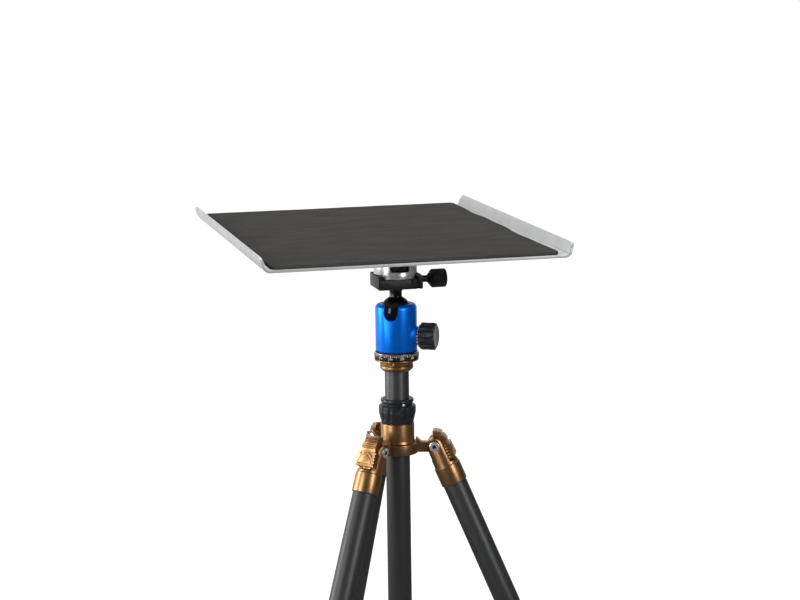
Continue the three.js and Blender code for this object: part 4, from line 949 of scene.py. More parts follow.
def make_housing():
    floor = low("head_housing")
    knob_turn = bearing(joint_axis("ball_lock_turn"))
    pan = (joint_point("pan_lock_turn").z - floor, bearing(joint_axis("pan_lock_turn")) - knob_turn)
    body = cut(join(*housing_solids(*pan)), *housing_rooms(*pan))
    ends = (HOUSING_HEIGHT - RIM_SCREW_DEPTH, HOUSING_HEIGHT + OVER)
    sockets = [moved(rod(RIM_SCREW_RADIUS, *ends, SMALL_ROUND), *polar(RIM_SCREW_CIRCLE, degrees - knob_turn))
               for degrees in RIM_SCREW_TURNS]
    piece("head_shell", cut(body, *sockets), on_column(floor, knob_turn), "head", "blue_anodised",
          ["head_housing"], edge=0.3)


def make_rim_screws():
    foot, top = HOUSING_HEIGHT - RIM_SCREW_DEPTH, HOUSING_HEIGHT - RIM_SCREW_SUNK
    for i, degrees in enumerate(RIM_SCREW_TURNS):
        barrel = rod(RIM_SCREW_RADIUS - RIM_SCREW_PLAY, foot, top, SMALL_ROUND, 0.2)
        hexagon = prism(arc(0, 0, RIM_SCREW_KEY, 0, 300, 5), top - RIM_SCREW_KEY_DEPTH, HOUSING_HEIGHT)
        spot = Matrix.Translation((*polar(RIM_SCREW_CIRCLE, degrees), 0))
        piece(f"rim_screw_{i + 1}", cut(barrel, hexagon), on_column(low("head_housing")) @ spot, "head",
              "black_anodised")


# Ball lock knob, drawn along its own axis
FLANGE_RADIUS, FLANGE_THICKNESS, CORE_RADIUS = 11.6, 2, 9
FLANGE_RIM = FLANGE_RADIUS - 1.2
GRIP_RADIUS, GRIP_LENGTH, GRIP_FLUTES, GRIP_DIP, GRIP_ROUND, GRIP_WAIST = 14, 15.6, 10, 1.5, 1.8, 0.25
CAP_RADIUS, CAP_THICKNESS, CAP_PROUD, CAP_RIM, CAP_SINK = 11.4, 2.4, 0.7, 1.0, 0.25
FLANGE_START = LOCK_BOSS_REACH + RUN
GRIP_START = FLANGE_START + FLANGE_THICKNESS + GAP
GRIP_END = GRIP_START + GRIP_LENGTH
CORE_END = GRIP_END - CAP_THICKNESS
BEADS, BEAD_RADIUS, BEAD_LIFT = 21, 0.95, 0.05
PAN_KNOB_LENGTH, PAN_KNOB_RADIUS, PAN_KNOB_FLUTES, PAN_KNOB_DIP, PAN_KNOB_BEVEL = 9, 7, 6, 0.8, 0.5
PAN_DISH_RIM, PAN_DISH_DEPTH = 2.4, 0.6


def lock_core():
    flange_end = FLANGE_START + FLANGE_THICKNESS
    return lathe(eased([
        (0, LOCK_TIP), (LOCK_SHAFT, LOCK_TIP, 0.4), (LOCK_SHAFT, FLANGE_START),
        (FLANGE_RIM, FLANGE_START, 0.3), (FLANGE_RIM, flange_end, 0.2), (CORE_RADIUS, flange_end),
        (CORE_RADIUS, CORE_END, 0.3), (0, CORE_END)]))


def lock_beads():
    beads = []
    for i in range(BEADS):
        bead = bmesh.new()
        bmesh.ops.create_icosphere(bead, subdivisions=3, radius=BEAD_RADIUS)
        spot = polar(FLANGE_RADIUS - BEAD_RADIUS, 360 * i / BEADS)
        beads.append(moved(bead, *spot, FLANGE_START + BEAD_RADIUS + BEAD_LIFT))
    return merged(*beads)


def grip_shape(share):
    """The flutes are wide at both ends and narrow in the middle."""
    middle = math.sin(math.pi * share) ** 2
    from_end = min(share, 1 - share) * GRIP_LENGTH
    return GRIP_DIP, 0.66 - 0.34 * middle, round_off(from_end, GRIP_ROUND) + GRIP_WAIST * middle


def lock_rubber():
    grip = fluted_grip(GRIP_RADIUS, GRIP_FLUTES, GRIP_START, GRIP_LENGTH, 26, 200, grip_shape)
    return cut(grip, rod(CORE_RADIUS + GAP, GRIP_START - OVER, GRIP_END),
               rod(CAP_RADIUS + GAP, CORE_END, GRIP_END + OVER))


def lock_disc():
    foot, top = CORE_END + GAP, GRIP_END + CAP_PROUD
    rim, face = CAP_RADIUS - CAP_RIM, top - CAP_SINK
    return lathe(eased([(0, foot), (CAP_RADIUS, foot), (CAP_RADIUS, top, 0.4), (rim, top, 0.1),
                        (rim - 0.3, face, 0.1), (0, face)]))


def make_lock_knob():
    place = along_knob("ball_lock_turn")
    piece("lock_core", lock_core(), place, "ball_lock", "black_anodised", ["lock_knob"])
    piece("lock_beads", lock_beads(), place, "ball_lock", "bright_steel")
    piece("lock_rubber", lock_rubber(), place, "ball_lock", "black_rubber", ["lock_grip"], sharp=50)
    piece("lock_disc", lock_disc(), place, "ball_lock", "grey_aluminium", ["lock_cap"])


def make_pan_lock():
    start = PAN_LOCK_REACH + RUN
    end = start + PAN_KNOB_LENGTH
    bevel, crown = PAN_KNOB_BEVEL, PAN_KNOB_BEVEL * 2
    grip = inset_stack(fluted(PAN_KNOB_RADIUS, PAN_KNOB_FLUTES, PAN_KNOB_DIP, 0.55), [
        (start, bevel), (start + bevel, 0), (end - crown, 0), (end - 0.3, 0.3), (end, crown)])
    dish_floor, dish_radius = end - PAN_DISH_DEPTH, PAN_KNOB_RADIUS - PAN_DISH_RIM
    dish = lathe(eased([(0, dish_floor), (dish_radius, dish_floor, 0.3), (dish_radius + 0.5, end + 0.1),
                        (0, end + 0.1)]), SMALL_ROUND)
    shaft = rod(PAN_LOCK_SHAFT, PAN_LOCK_TIP, start + OVER, SMALL_ROUND)
    piece("pan_lock_grip", join(cut(grip, dish), shaft), along_knob("pan_lock_turn"), "pan_lock",
          "black_anodised", ["pan_lock_knob"], sharp=38)


# Panning base
PAN_RADIUS, PAN_HEIGHT, PAN_BEVEL, PAN_BORE = 23, 7.2, 1.4, 18.4
FLANGE_LIP, FLANGE_LIP_RADIUS = 1.6, 22.6
STEP_RADIUS, STEP_HEIGHT = 16.8, 5
STEP_SLOTS, STEP_SLOT_WIDTH, STEP_SLOT_DEPTH = 6, 3, 1.6
STUD_RADIUS, STUD_RISE = 4.75, 12
TICK_PITCH, TALL_TICK_PITCH, NUMBER_PITCH = 5, 15, 30  # degrees
TALL_TICK, SHORT_TICK = (1.9, 0.6), (1.2, 0.4)  # height and width
MARK_PROUD, TICK_ROOT = 0.04, 0.3
NUMBER_SIZE, NUMBER_DEPTH, NUMBER_LIFT = 2.9, 0.15, 0.1


def dial_ticks():
    """Tick marks in two heights round the pan ring."""
    top = PAN_HEIGHT - PAN_BEVEL
    inner, outer = PAN_RADIUS - TICK_ROOT, PAN_RADIUS + MARK_PROUD
    ticks = []
    for degrees in range(0, 360, TICK_PITCH):
        height, width = SHORT_TICK if degrees % TALL_TICK_PITCH else TALL_TICK
        tick = block(inner, outer, -width / 2, width / 2, top - height, top)
        ticks.append(turned(tick, degrees))
    return merged(*ticks)


def dial_numbers():
    """Degrees from 0 to 330, wrapped round the ring under their marks."""
    whole = bmesh.new()
    for degrees in range(0, 360, NUMBER_PITCH):
        text = bpy.data.curves.new("number", "FONT")
        text.body = str(degrees)
        text.size = NUMBER_SIZE
        text.align_x = "CENTER"
        text.extrude = NUMBER_DEPTH
        text.resolution_u = 3
        mesh = evaluated(added("number", text))
        for vertex in mesh.vertices:
            across, up, out = vertex.co
            radius = PAN_RADIUS - NUMBER_DEPTH + MARK_PROUD + out
            spot = polar(radius, degrees + math.degrees(across / PAN_RADIUS))
            vertex.co = (*spot, up + PAN_BEVEL + NUMBER_LIFT)
        whole.from_mesh(mesh)
        bpy.data.meshes.remove(mesh)
    return whole


def make_pan_ring():
    bore = PAN_BORE + GAP
    ring = lathe(eased([
        (bore, 0, 0.3), (PAN_RADIUS, 0, PAN_BEVEL), (PAN_RADIUS, PAN_HEIGHT, PAN_BEVEL),
        (bore, PAN_HEIGHT, 0.3)], closed=True))
    place = on_column(low("pan_ring"))
    dial = piece("dial_ring", ring, place, "column", "black_anodised", ["pan_ring"])
    dial.data.materials.append(COPPER_EDGE)
    for polygon in dial.data.polygons:
        out = (polygon.center / MM - place.translation).xy.length
        if polygon.normal.z > 0.2 and out > PAN_RADIUS - PAN_BEVEL:
            polygon.material_index = 1
    for name, marks in (("dial_ticks", dial_ticks()), ("dial_numbers", dial_numbers())):
        made = piece(name, marks, place, "column", "black_anodised")
        made.data.materials[0] = WHITE_MARK


def make_pan_base():
    flange_top = STEP_HEIGHT + FLANGE_LIP
    hub_top = flange_top + GAP + PAN_HEIGHT
    post_top = low("head_housing") - low("pan_base") + POST_RISE
    body = lathe(eased([
        (0, 0), (STEP_RADIUS, 0, 0.4), (STEP_RADIUS, STEP_HEIGHT, 0.2), (FLANGE_LIP_RADIUS, STEP_HEIGHT, 0.5),
        (FLANGE_LIP_RADIUS, flange_top, 0.5), (PAN_BORE, flange_top), (PAN_BORE, hub_top, 0.2),
        (POST_RADIUS, hub_top), (POST_RADIUS, post_top, 0.4), (0, post_top)]))
    inner, outer, half = STEP_RADIUS - STEP_SLOT_DEPTH, STEP_RADIUS + OVER, STEP_SLOT_WIDTH / 2
    slots = [turned(block(inner, outer, -half, half, STEP_HEIGHT / 3, STEP_HEIGHT), 360 * i / STEP_SLOTS)
             for i in range(STEP_SLOTS)]
    body = cut(body, rod(STUD_RADIUS + GAP, -OVER, STUD_RISE + GAP, SMALL_ROUND), *slots)
    piece("pan_foot", body, on_column(low("pan_base")), "column", "bronze_anodised", ["pan_base"], edge=0.25)


# Centre column
COLUMN_RADIUS, COLUMN_WALL, COLUMN_LENGTH = 12.4, 1.5, 262
TOP_RADIUS, TOP_HEIGHT, TOP_BEVEL, TOP_PLUG = 17, 5.6, 2.6, 14
STUD_DROP = 5
END_FLANGE, END_PLUG, END_BEVEL = 5, 12, 2


def tube(radius, wall, bottom, top, sides=ROUND):
    bore = radius - wall
    corners = [(bore, bottom, 0.3), (radius, bottom, 0.3), (radius, top, 0.3), (bore, top, 0.3)]
    return lathe(eased(corners, closed=True, steps=2), sides, mapped=True)


def make_column():
    place = on_column(high("column_tube") + GAP)
    bore = COLUMN_RADIUS - COLUMN_WALL - GAP
    socket_floor = TOP_HEIGHT - STUD_DROP - GAP
    plate = lathe(eased([
        (0, -TOP_PLUG), (bore, -TOP_PLUG, 0.5), (bore, 0), (TOP_RADIUS - TOP_BEVEL, 0, 0.4),
        (TOP_RADIUS, TOP_BEVEL, 0.6), (TOP_RADIUS, TOP_HEIGHT, 0.4), (STUD_RADIUS + GAP, TOP_HEIGHT, 0.2),
        (STUD_RADIUS + GAP, socket_floor), (0, socket_floor)]))
    piece("column_plate", plate, place, "column", "bronze_anodised", ["column_top_plate"])
    piece("column_carbon", tube(COLUMN_RADIUS, COLUMN_WALL, -COLUMN_LENGTH, -GAP), place, "column",
          "carbon_tube", ["column_tube"])
    seat = -COLUMN_LENGTH - GAP
    foot, plug_top = seat - END_FLANGE, END_PLUG - COLUMN_LENGTH
    cap = lathe(eased([(0, foot), (COLUMN_RADIUS, foot, END_BEVEL), (COLUMN_RADIUS, seat, 0.3), (bore, seat),
                       (bore, plug_top, 0.4), (0, plug_top)]))
    piece("column_cap", cap, place, "column", "black_rubber", ["column_end_cap"])


COLLAR_HEIGHT, COLLAR_RADIUS, COLLAR_FOOT = 25, 19, 16.4
COLLAR_FLANGE_RADIUS, COLLAR_FLANGE, COLLAR_NECK_RADIUS, COLLAR_NECK = 17, 3.4, 15.6, 3
COLLAR_FLUTES, COLLAR_DIP, COLLAR_TAPER, COLLAR_SHOULDER = 14, 0.95, 11, 1.6
COLLAR_GRIP = COLLAR_HEIGHT - COLLAR_FLANGE - COLLAR_NECK
COLLAR_SCREW, COLLAR_SCREW_ROOT, COLLAR_SCREW_RIM, COLLAR_SCREW_CROWN = 1.5, 1, 0.5, 0.7
COLLAR_SCREW_TURN, COLLAR_SLOT_HALF, COLLAR_SLOT_FLOOR = -80, 0.2, 0.35
BUSH_WALL = 1.3
BUSH_RADIUS = COLUMN_RADIUS + RUN + BUSH_WALL
HUB_RADIUS, HUB_FOOT, HUB_FLARE, HUB_HEIGHT = 17.2, 18.2, 2.4, 20.2
HUB_NECK_RADIUS, HUB_NECK, HUB_SPIGOT = 15.4, 12, 15.8
RING_TOP, RING_BOTTOM, RING_RADIUS = 2.5, 8.5, 20.8


def collar_shape(share):
    """The flutes fade out at both ends, and the foot is drawn in."""
    depth = COLLAR_DIP * clamped((share - 0.12) / 0.2) * clamped((1.02 - share) / 0.22)
    taper = clamped(1 - COLLAR_GRIP * share / COLLAR_TAPER) * (COLLAR_RADIUS - COLLAR_FOOT)
    return depth, 0.62, taper + round_off(COLLAR_GRIP * (1 - share), COLLAR_SHOULDER)


def make_collar():
    grip = fluted_grip(COLLAR_RADIUS, COLLAR_FLUTES, 0, COLLAR_GRIP, 20, 224, collar_shape)
    neck_foot, neck_top = COLLAR_GRIP - COLLAR_SHOULDER, COLLAR_GRIP + COLLAR_NECK
    neck = lathe(eased([
        (0, neck_foot), (COLLAR_NECK_RADIUS, neck_foot), (COLLAR_NECK_RADIUS, neck_top, 0.8),
        (COLLAR_FLANGE_RADIUS, neck_top, 0.7), (COLLAR_FLANGE_RADIUS, COLLAR_HEIGHT, 1.1),
        (0, COLLAR_HEIGHT)]))
    hub, bush, column = HUB_NECK_RADIUS + RUN, BUSH_RADIUS + RUN, COLUMN_RADIUS + RUN
    hub_top, top = HUB_NECK + RUN, COLLAR_HEIGHT + OVER
    bore = lathe([(0, -OVER), (hub, -OVER), (hub, hub_top), (bush, hub_top), (bush, COLLAR_GRIP),
                  (column, COLLAR_GRIP), (column, top), (0, top)])
    piece("collar_rubber", cut(join(grip, neck), bore), on_column(low("column_collar")), "column_lock",
          "black_rubber", ["column_collar"], sharp=42)


def make_collar_screw():
    radius, root = COLLAR_SCREW, -COLLAR_SCREW_ROOT
    head = lathe(eased([(0, root), (radius, root), (radius, COLLAR_SCREW_RIM, 0.4), (0, COLLAR_SCREW_CROWN)]),
                 SMALL_ROUND)
    slot = block(-radius, radius, -COLLAR_SLOT_HALF, COLLAR_SLOT_HALF, COLLAR_SLOT_FLOOR, OVER)
    out = Vector((1, 0, 0))
    spot = framed(UP.cross(out), UP, out, Vector((COLLAR_NECK_RADIUS, 0, COLLAR_GRIP + COLLAR_NECK / 2)))
    piece("collar_screw", cut(head, slot), on_column(low("column_collar"), COLLAR_SCREW_TURN) @ spot,
          "column_lock", "bright_steel")


def make_hub_sleeve():
    bore = BUSH_RADIUS + GAP
    foot, neck_top = -RING_TOP - RING_BOTTOM, HUB_HEIGHT + HUB_NECK
    sleeve = lathe(eased([
        (bore, foot, 0.3), (HUB_SPIGOT, foot, 0.3), (HUB_SPIGOT, 0), (HUB_FOOT, 0, 0.3),
        (HUB_RADIUS, HUB_FLARE, 3), (HUB_RADIUS, HUB_HEIGHT, 0.5), (HUB_NECK_RADIUS, HUB_HEIGHT),
        (HUB_NECK_RADIUS, neck_top, 0.3), (bore, neck_top, 0.3)], closed=True))
    hub_floor = joint_point("leg_1_fold").z + RING_TOP + GAP
    piece("hub_barrel", sleeve, on_column(hub_floor), "stand", "bronze_anodised", ["hub_sleeve"])


# Spider and leg fittings, drawn from the hinge
HINGE_RADIUS = 38.5
ARM_WIDTH, ARM_BOTTOM, ARM_TOP, ARM_ROOT = 9.5, 7.2, 3.2, 8
EYE_RADIUS = 8.3
SECTOR_RADIUS, SECTOR_START, SECTOR_END, SECTOR_NOTCH = 11.6, -8, 104, 1.5
SPREAD_STOPS = (23, 55, 80)
PIN_RADIUS, PIN_HEAD_RADIUS, PIN_HEAD, PIN_PROUD = 3, 5.2, 1.5, 0.4
PIN_DOME = 0.8
SOCKET_RADIUS, SOCKET_LOBE, SOCKET_LOBES, SOCKET_DEPTH = 1.7, 0.6, 6, 2.2
LEG_AXIS_OUT = 2.6  # from the hinge out to the leg's own axis
YOKE_RADIUS, YOKE_EYE, YOKE_SLOT, YOKE_SHOULDER = 12.8, 8.6, 13, 20.5
YOKE_COLLAR, YOKE_COLLAR_TOP, YOKE_COLLAR_END, TUBE_SEAT = 13.8, 23.5, 44, 19
LEVER_OUT, LEVER_DOWN, LEVER_PIN, LEVER_PIN_LENGTH = 5.6, 16.6, 1.3, 17
LEVER_TAB, LEVER_TAB_HEIGHT, LEVER_ROOM = 9.2, 6.4, 1.2
PLATE_REACH, PLATE_HALF, PLATE_TALL, PLATE_FOOT = 15.2, 11.4, 15.2, 18
PLATE_TEETH, TOOTH_PITCH, TOOTH_DEPTH = 4, 3.2, 1
FACE_HALF, FACE_TALL, FACE_SIDE, FACE_THICK, FACE_FOOT = 9.6, 13.2, 2, 0.7, 17
GROOVE_INSET, GROOVE_WIDTH, GROOVE_DEPTH = 1.5, 0.6, 0.35
STRIP_HALF, STRIP_THICK = 8.6, 1.4
RIDGES, RIDGE_RADIUS, RIDGE_PITCH, RIDGE_START = 3, 0.9, 10, 8
TIP_HALF, TIP_START, TIP_THICK, LEVER_CURL = 8, 38, 3.4, 76


def spider_arm():
    root, half = HUB_FOOT + GAP * 2, ARM_WIDTH / 2
    side = eased([
        (root, -ARM_BOTTOM), (HINGE_RADIUS, -ARM_BOTTOM), (HINGE_RADIUS, ARM_TOP),
        (HINGE_RADIUS - EYE_RADIUS * 1.7, ARM_TOP, 5), (root, ARM_ROOT)], closed=True)
    fan = [(0, 0)] + arc(0, 0, SECTOR_RADIUS, SECTOR_START, SECTOR_END, 32)
    arm = join(upright(side, -half, half), rod_y(EYE_RADIUS, -half, half, HINGE_RADIUS),
               moved(upright(fan, -half, half), HINGE_RADIUS))
    stops = [polar(SECTOR_RADIUS, stop) for stop in SPREAD_STOPS]
    notches = [rod_y(SECTOR_NOTCH, -ARM_WIDTH, ARM_WIDTH, HINGE_RADIUS + out, rise, TINY_ROUND)
               for out, rise in stops]
    return cut(arm, *notches, rod_y(PIN_RADIUS + RUN, -ARM_WIDTH, ARM_WIDTH, HINGE_RADIUS))


def make_spider():
    bore = HUB_SPIGOT + GAP
    ring = lathe(eased([
        (bore, -RING_BOTTOM, 0.3), (RING_RADIUS, -RING_BOTTOM, 0.8), (RING_RADIUS, RING_TOP, 0.8),
        (bore, RING_TOP, 0.3)], closed=True))
    arms = [turned(spider_arm(), bearing(joint_point(f"{leg}_fold") - COLUMN)) for leg in LEGS]
    piece("hub_spider", join(ring, *arms), on_column(joint_point("leg_1_fold").z), "stand", "bronze_anodised",
          ["spider"], edge=0.5)


def yoke_solids(reach):
    """The two cheeks as one block, and the collar that holds the tube."""
    foot = -YOKE_COLLAR_TOP - OVER
    side = [(-reach, foot), (reach, foot), (reach, -YOKE_SHOULDER), (YOKE_EYE, -YOKE_SHOULDER)]
    side += arc(0, 0, YOKE_EYE, 0, 180, 32) + [(-YOKE_EYE, -YOKE_SLOT), (-reach, -YOKE_COLLAR_TOP)]
    bar = moved(rod(YOKE_RADIUS, foot, YOKE_EYE + OVER), LEG_AXIS_OUT)
    collar = lathe(eased([
        (0, -YOKE_COLLAR_END), (YOKE_COLLAR, -YOKE_COLLAR_END, 0.9), (YOKE_COLLAR, -YOKE_COLLAR_TOP, 0.7),
        (0, -YOKE_COLLAR_TOP)]))
    return common(bar, upright(side, -reach, reach)), moved(collar, LEG_AXIS_OUT)


def make_yoke(leg):
    reach = YOKE_RADIUS + LEG_AXIS_OUT + OVER
    half = ARM_WIDTH / 2 + RUN
    tab_room = LEVER_TAB_HEIGHT / 2 + LEVER_ROOM
    inner = YOKE_RADIUS + PIN_PROUD - PIN_HEAD - GAP
    pin_end = LEVER_PIN_LENGTH / 2 + GAP
    tube_ends = (-YOKE_COLLAR_END - OVER, -YOKE_COLLAR_END + TUBE_SEAT + GAP)
    body = cut(
        join(*yoke_solids(reach)), block(-reach, reach, -half, half, -YOKE_SLOT, YOKE_EYE + OVER),
        block(LEVER_OUT - tab_room, reach, -half, half, -LEVER_DOWN - tab_room, OVER - YOKE_SLOT),
        moved(rod(TUBE_RADII[0] + GAP, *tube_ends), LEG_AXIS_OUT),
        rod_y(PIN_RADIUS + GAP, -reach, reach),
        *[rod_y(PIN_HEAD_RADIUS + GAP, *ends) for ends in ((inner, reach), (-reach, -inner))],
        rod_y(LEVER_PIN + GAP, -pin_end, pin_end, LEVER_OUT, -LEVER_DOWN, TINY_ROUND))
    piece(f"{leg}_clevis", body, in_leg(leg), leg, "bronze_anodised", [f"{leg}_yoke"], edge=0.4)


def make_hinge_pin(leg):
    end = YOKE_RADIUS + PIN_PROUD
    shoulder = end - PIN_HEAD
    dome = [(PIN_HEAD_RADIUS * i / 8, end - PIN_DOME * (i / 8) ** 2) for i in range(9)]
    half = dome + [(PIN_HEAD_RADIUS, shoulder), (PIN_RADIUS, shoulder)]
    body = lathe([(radius, -out) for radius, out in half] + half[::-1], SMALL_ROUND)
    sockets = []
    for face in (-1, 1):
        ends = sorted((face * (end - SOCKET_DEPTH), face * (end + OVER)))
        sockets.append(rod(SOCKET_RADIUS, *ends, TINY_ROUND))
        for i in range(SOCKET_LOBES):
            lobe = moved(rod(SOCKET_LOBE, *ends, LEAST_ROUND), SOCKET_RADIUS)
            sockets.append(turned(lobe, 360 / SOCKET_LOBES * i))
    place = in_leg(leg)
    screw = piece(f"{leg}_hinge_screw", along_y(cut(body, *sockets)), place, leg, "bright_steel",
                  [f"{leg}_hinge_pin"], edge=0.12)
    # Painted shade: the faces inside the socket take the black finish, though the screw is the same bright
    # steel there.
    screw.data.materials.append(FINISHES["black_anodised"])
    for polygon in screw.data.polygons:
        spot = place.inverted() @ (polygon.center / MM)
        if spot.xz.length < SOCKET_RADIUS + SOCKET_LOBE and abs(spot.y) < end - PIN_DOME / 2:
            polygon.material_index = 1


def face_outline(inset):
    """The outline of the raised face, flat at its foot and round at its top, drawn in by the inset."""
    half, tall = FACE_HALF - inset, FACE_TALL - inset
    crown = [(x, FACE_SIDE + y * (tall - FACE_SIDE) / half) for x, y in arc(0, 0, half, 0, 180, 32)]
    return [(-half, inset), (half, inset)] + crown


def lever_plate():
    """The toothed plate with its raised face and the groove inside the face's edge."""
    inner = YOKE_EYE + RUN
    slab = block(inner, PLATE_REACH, -PLATE_HALF, PLATE_HALF, -PLATE_FOOT, PLATE_TALL - PLATE_FOOT)
    rim = (PLATE_TALL - TOOTH_PITCH * (PLATE_TEETH - 1)) / 2
    gaps = [rod_x(TOOTH_DEPTH, inner - OVER, PLATE_REACH + OVER, side * PLATE_HALF,
                  rim + TOOTH_PITCH * i - PLATE_FOOT, LEAST_ROUND)
            for side in (-1, 1) for i in range(PLATE_TEETH)]
    depth = FACE_THICK + RUN
    groove = cut(prism(face_outline(GROOVE_INSET), depth - GROOVE_DEPTH, depth + OVER),
                 prism(face_outline(GROOVE_INSET + GROOVE_WIDTH), depth - OVER, depth + OVER * 2))
    face = turned(turned(cut(prism(face_outline(0), 0, depth), groove), 90, "X"), 90)
    return join(cut(slab, *gaps), moved(face, PLATE_REACH - RUN, 0, -FACE_FOOT))


def make_lever(leg):
    inner, room = YOKE_EYE + RUN, SECTOR_RADIUS + RUN
    strip_radius = room + STRIP_THICK
    strip_foot = PLATE_TALL - PLATE_FOOT - STRIP_THICK
    strip_start = math.degrees(math.asin(strip_foot / strip_radius))
    strip = upright([(inner, strip_foot)] + arc(0, 0, strip_radius, strip_start, LEVER_CURL, 24)
                    + arc(0, 0, inner, LEVER_CURL, 0, 24), -STRIP_HALF, STRIP_HALF)
    crest = arc(0, 0, room + TIP_THICK, TIP_START, LEVER_CURL, 12)
    tip = upright(eased([(*crest[0], 0.8)] + crest[1:-1] + [(*crest[-1], 1.4)]
                        + arc(0, 0, room, LEVER_CURL, TIP_START, 12), closed=True), -TIP_HALF, TIP_HALF)
    spots = [polar(strip_radius, RIDGE_START + RIDGE_PITCH * i) for i in range(RIDGES)]
    ridges = [rod_y(RIDGE_RADIUS, -STRIP_HALF, STRIP_HALF, *spot, TINY_ROUND) for spot in spots]
    tab_half, slot_half = LEVER_TAB_HEIGHT / 2, ARM_WIDTH / 2 + RUN
    tab = block(LEVER_OUT - tab_half, inner + GAP, -LEVER_TAB / 2, LEVER_TAB / 2,
                -LEVER_DOWN - tab_half, -LEVER_DOWN + tab_half)
    body = cut(join(lever_plate(), strip, tip, *ridges, tab), rod_y(room, -slot_half, slot_half, sides=ROUND),
               rod_y(LEVER_PIN + RUN, -PLATE_HALF, PLATE_HALF, LEVER_OUT, -LEVER_DOWN, TINY_ROUND))
    piece(f"{leg}_lever_plate", body, in_leg(leg), f"{leg}_lever", "bronze_anodised", [f"{leg}_angle_lever"],
          edge=0.25)


# Leg tubes, twist locks and feet
TUBE_RADII = (12.5, 10.6, 8.7)
TUBE_WALL = 1.5
UPPER_END, MIDDLE_TOP, LOWER_TOP = 330, 62, 84
LOCK_BITE, LOCK_LENGTH, LOCK_WALL, LOCK_LIP = 14, 30, 2.2, 1.5
LOCK_FLUTES, LOCK_DIP, LOCK_ROUND = 6, 0.8, 1.2
LEG_LENGTH, FOOT_RADIUS, FOOT_SEAT = 396, 11, 10
RIB_START, RIB_PITCH, RIB_WIDTH, RIB_DEPTH, RIB_ROOM = 6, 3.2, 1.8, 0.5, 3
FIRST_LOCK_END = UPPER_END - LOCK_BITE + LOCK_LENGTH
SECOND_LOCK_END = FIRST_LOCK_END + RUN + LOCK_LENGTH
TUBE_SPANS = ((YOKE_COLLAR_END - TUBE_SEAT, UPPER_END), (MIDDLE_TOP, FIRST_LOCK_END + RUN + LOCK_BITE),
              (LOWER_TOP, SECOND_LOCK_END + RUN + FOOT_SEAT))


def make_leg_tubes(leg):
    rows = zip(("upper", "middle", "lower"), TUBE_RADII, TUBE_SPANS, ("", "_middle", "_lower"))
    for level, radius, (start, end), suffix in rows:
        piece(f"{leg}_{level}_carbon", tube(radius, TUBE_WALL, -end, -start), in_leg(leg, LEG_AXIS_OUT),
              leg + suffix, "carbon_tube", [f"{leg}_{level}_tube"])


def lock_shape(share):
    """The grip narrows to a neck at its foot, where the share is 0."""
    depth = LOCK_DIP * math.sin(math.pi * clamped((share - 0.1) / 0.8)) ** 0.6
    neck = (LOCK_LIP + LOCK_ROUND) * max(0, 1 - share / 0.45) ** 1.5
    return depth, 0.5, neck + round_off(min(share, 1 - share) * LOCK_LENGTH, LOCK_ROUND)


def make_twist_lock(leg, level, end, outer_tube, inner_tube):
    outer, inner, step = outer_tube + RUN, inner_tube + RUN, -LOCK_BITE - RUN
    grip = fluted_grip(outer + LOCK_WALL, LOCK_FLUTES, -LOCK_LENGTH, LOCK_LENGTH, 22, 144, lock_shape)
    bore = lathe([(0, -LOCK_LENGTH - OVER), (inner, -LOCK_LENGTH - OVER), (inner, step), (outer, step),
                  (outer, OVER), (0, OVER)])
    place = in_leg(leg, LEG_AXIS_OUT) @ Matrix.Translation((0, 0, LOCK_LENGTH - end))
    piece(f"{leg}_{level}_twist_grip", cut(grip, bore), place, f"{leg}_{level}_lock", "black_rubber",
          [f"{leg}_{level}_lock"], sharp=42)


def make_foot(leg):
    tube_radius = TUBE_RADII[2]
    sleeve_top = LEG_LENGTH - TUBE_SPANS[2][1] + FOOT_SEAT
    sleeve = tube_radius + TUBE_WALL
    angle = math.degrees(math.acos(sleeve / FOOT_RADIUS))
    side = [(sleeve, RIB_START - RIB_DEPTH)]
    rib = RIB_START
    while rib + RIB_ROOM < sleeve_top:
        side += [(sleeve, rib, 0.2), (sleeve - RIB_DEPTH, rib + RIB_DEPTH, 0.2),
                 (sleeve - RIB_DEPTH, rib + RIB_WIDTH - RIB_DEPTH, 0.2), (sleeve, rib + RIB_WIDTH, 0.2)]
        rib += RIB_PITCH
    side += [(sleeve, sleeve_top, 0.5), (0, sleeve_top)]
    body = lathe([(0, -FOOT_RADIUS)] + arc(0, 0, FOOT_RADIUS, -POLE, angle, 24) + eased(side))
    bore = rod(tube_radius + GAP, sleeve_top - FOOT_SEAT - GAP, sleeve_top + OVER)
    place = in_leg(leg, LEG_AXIS_OUT) @ Matrix.Translation((0, 0, -LEG_LENGTH))
    piece(f"{leg}_rubber_foot", cut(body, bore), place, f"{leg}_lower", "black_rubber", [f"{leg}_foot"],
          sharp=50)


def make_leg(leg):
    make_yoke(leg)
    make_hinge_pin(leg)
    make_lever(leg)
    make_leg_tubes(leg)
    make_twist_lock(leg, "upper", FIRST_LOCK_END, TUBE_RADII[0], TUBE_RADII[1])
    make_twist_lock(leg, "lower", SECOND_LOCK_END, TUBE_RADII[1], TUBE_RADII[2])
    make_foot(leg)


# Inner pieces that stay as the frame has them
KEPT = {
    "clamp_bolt": "bright_steel", "clamp_guide_front": "bright_steel", "clamp_guide_back": "bright_steel",
    "ball_seat": "black_nylon", "lock_wedge": "bright_steel", "head_stud": "bright_steel",
    "column_bush": "black_nylon", **{f"{leg}_lever_pin": "bright_steel" for leg in LEGS},
}


def dress_kept_nodes():
    for name, slot in KEPT.items():
        nodes[name].data.materials.clear()
        nodes[name].data.materials.append(FINISHES[slot])


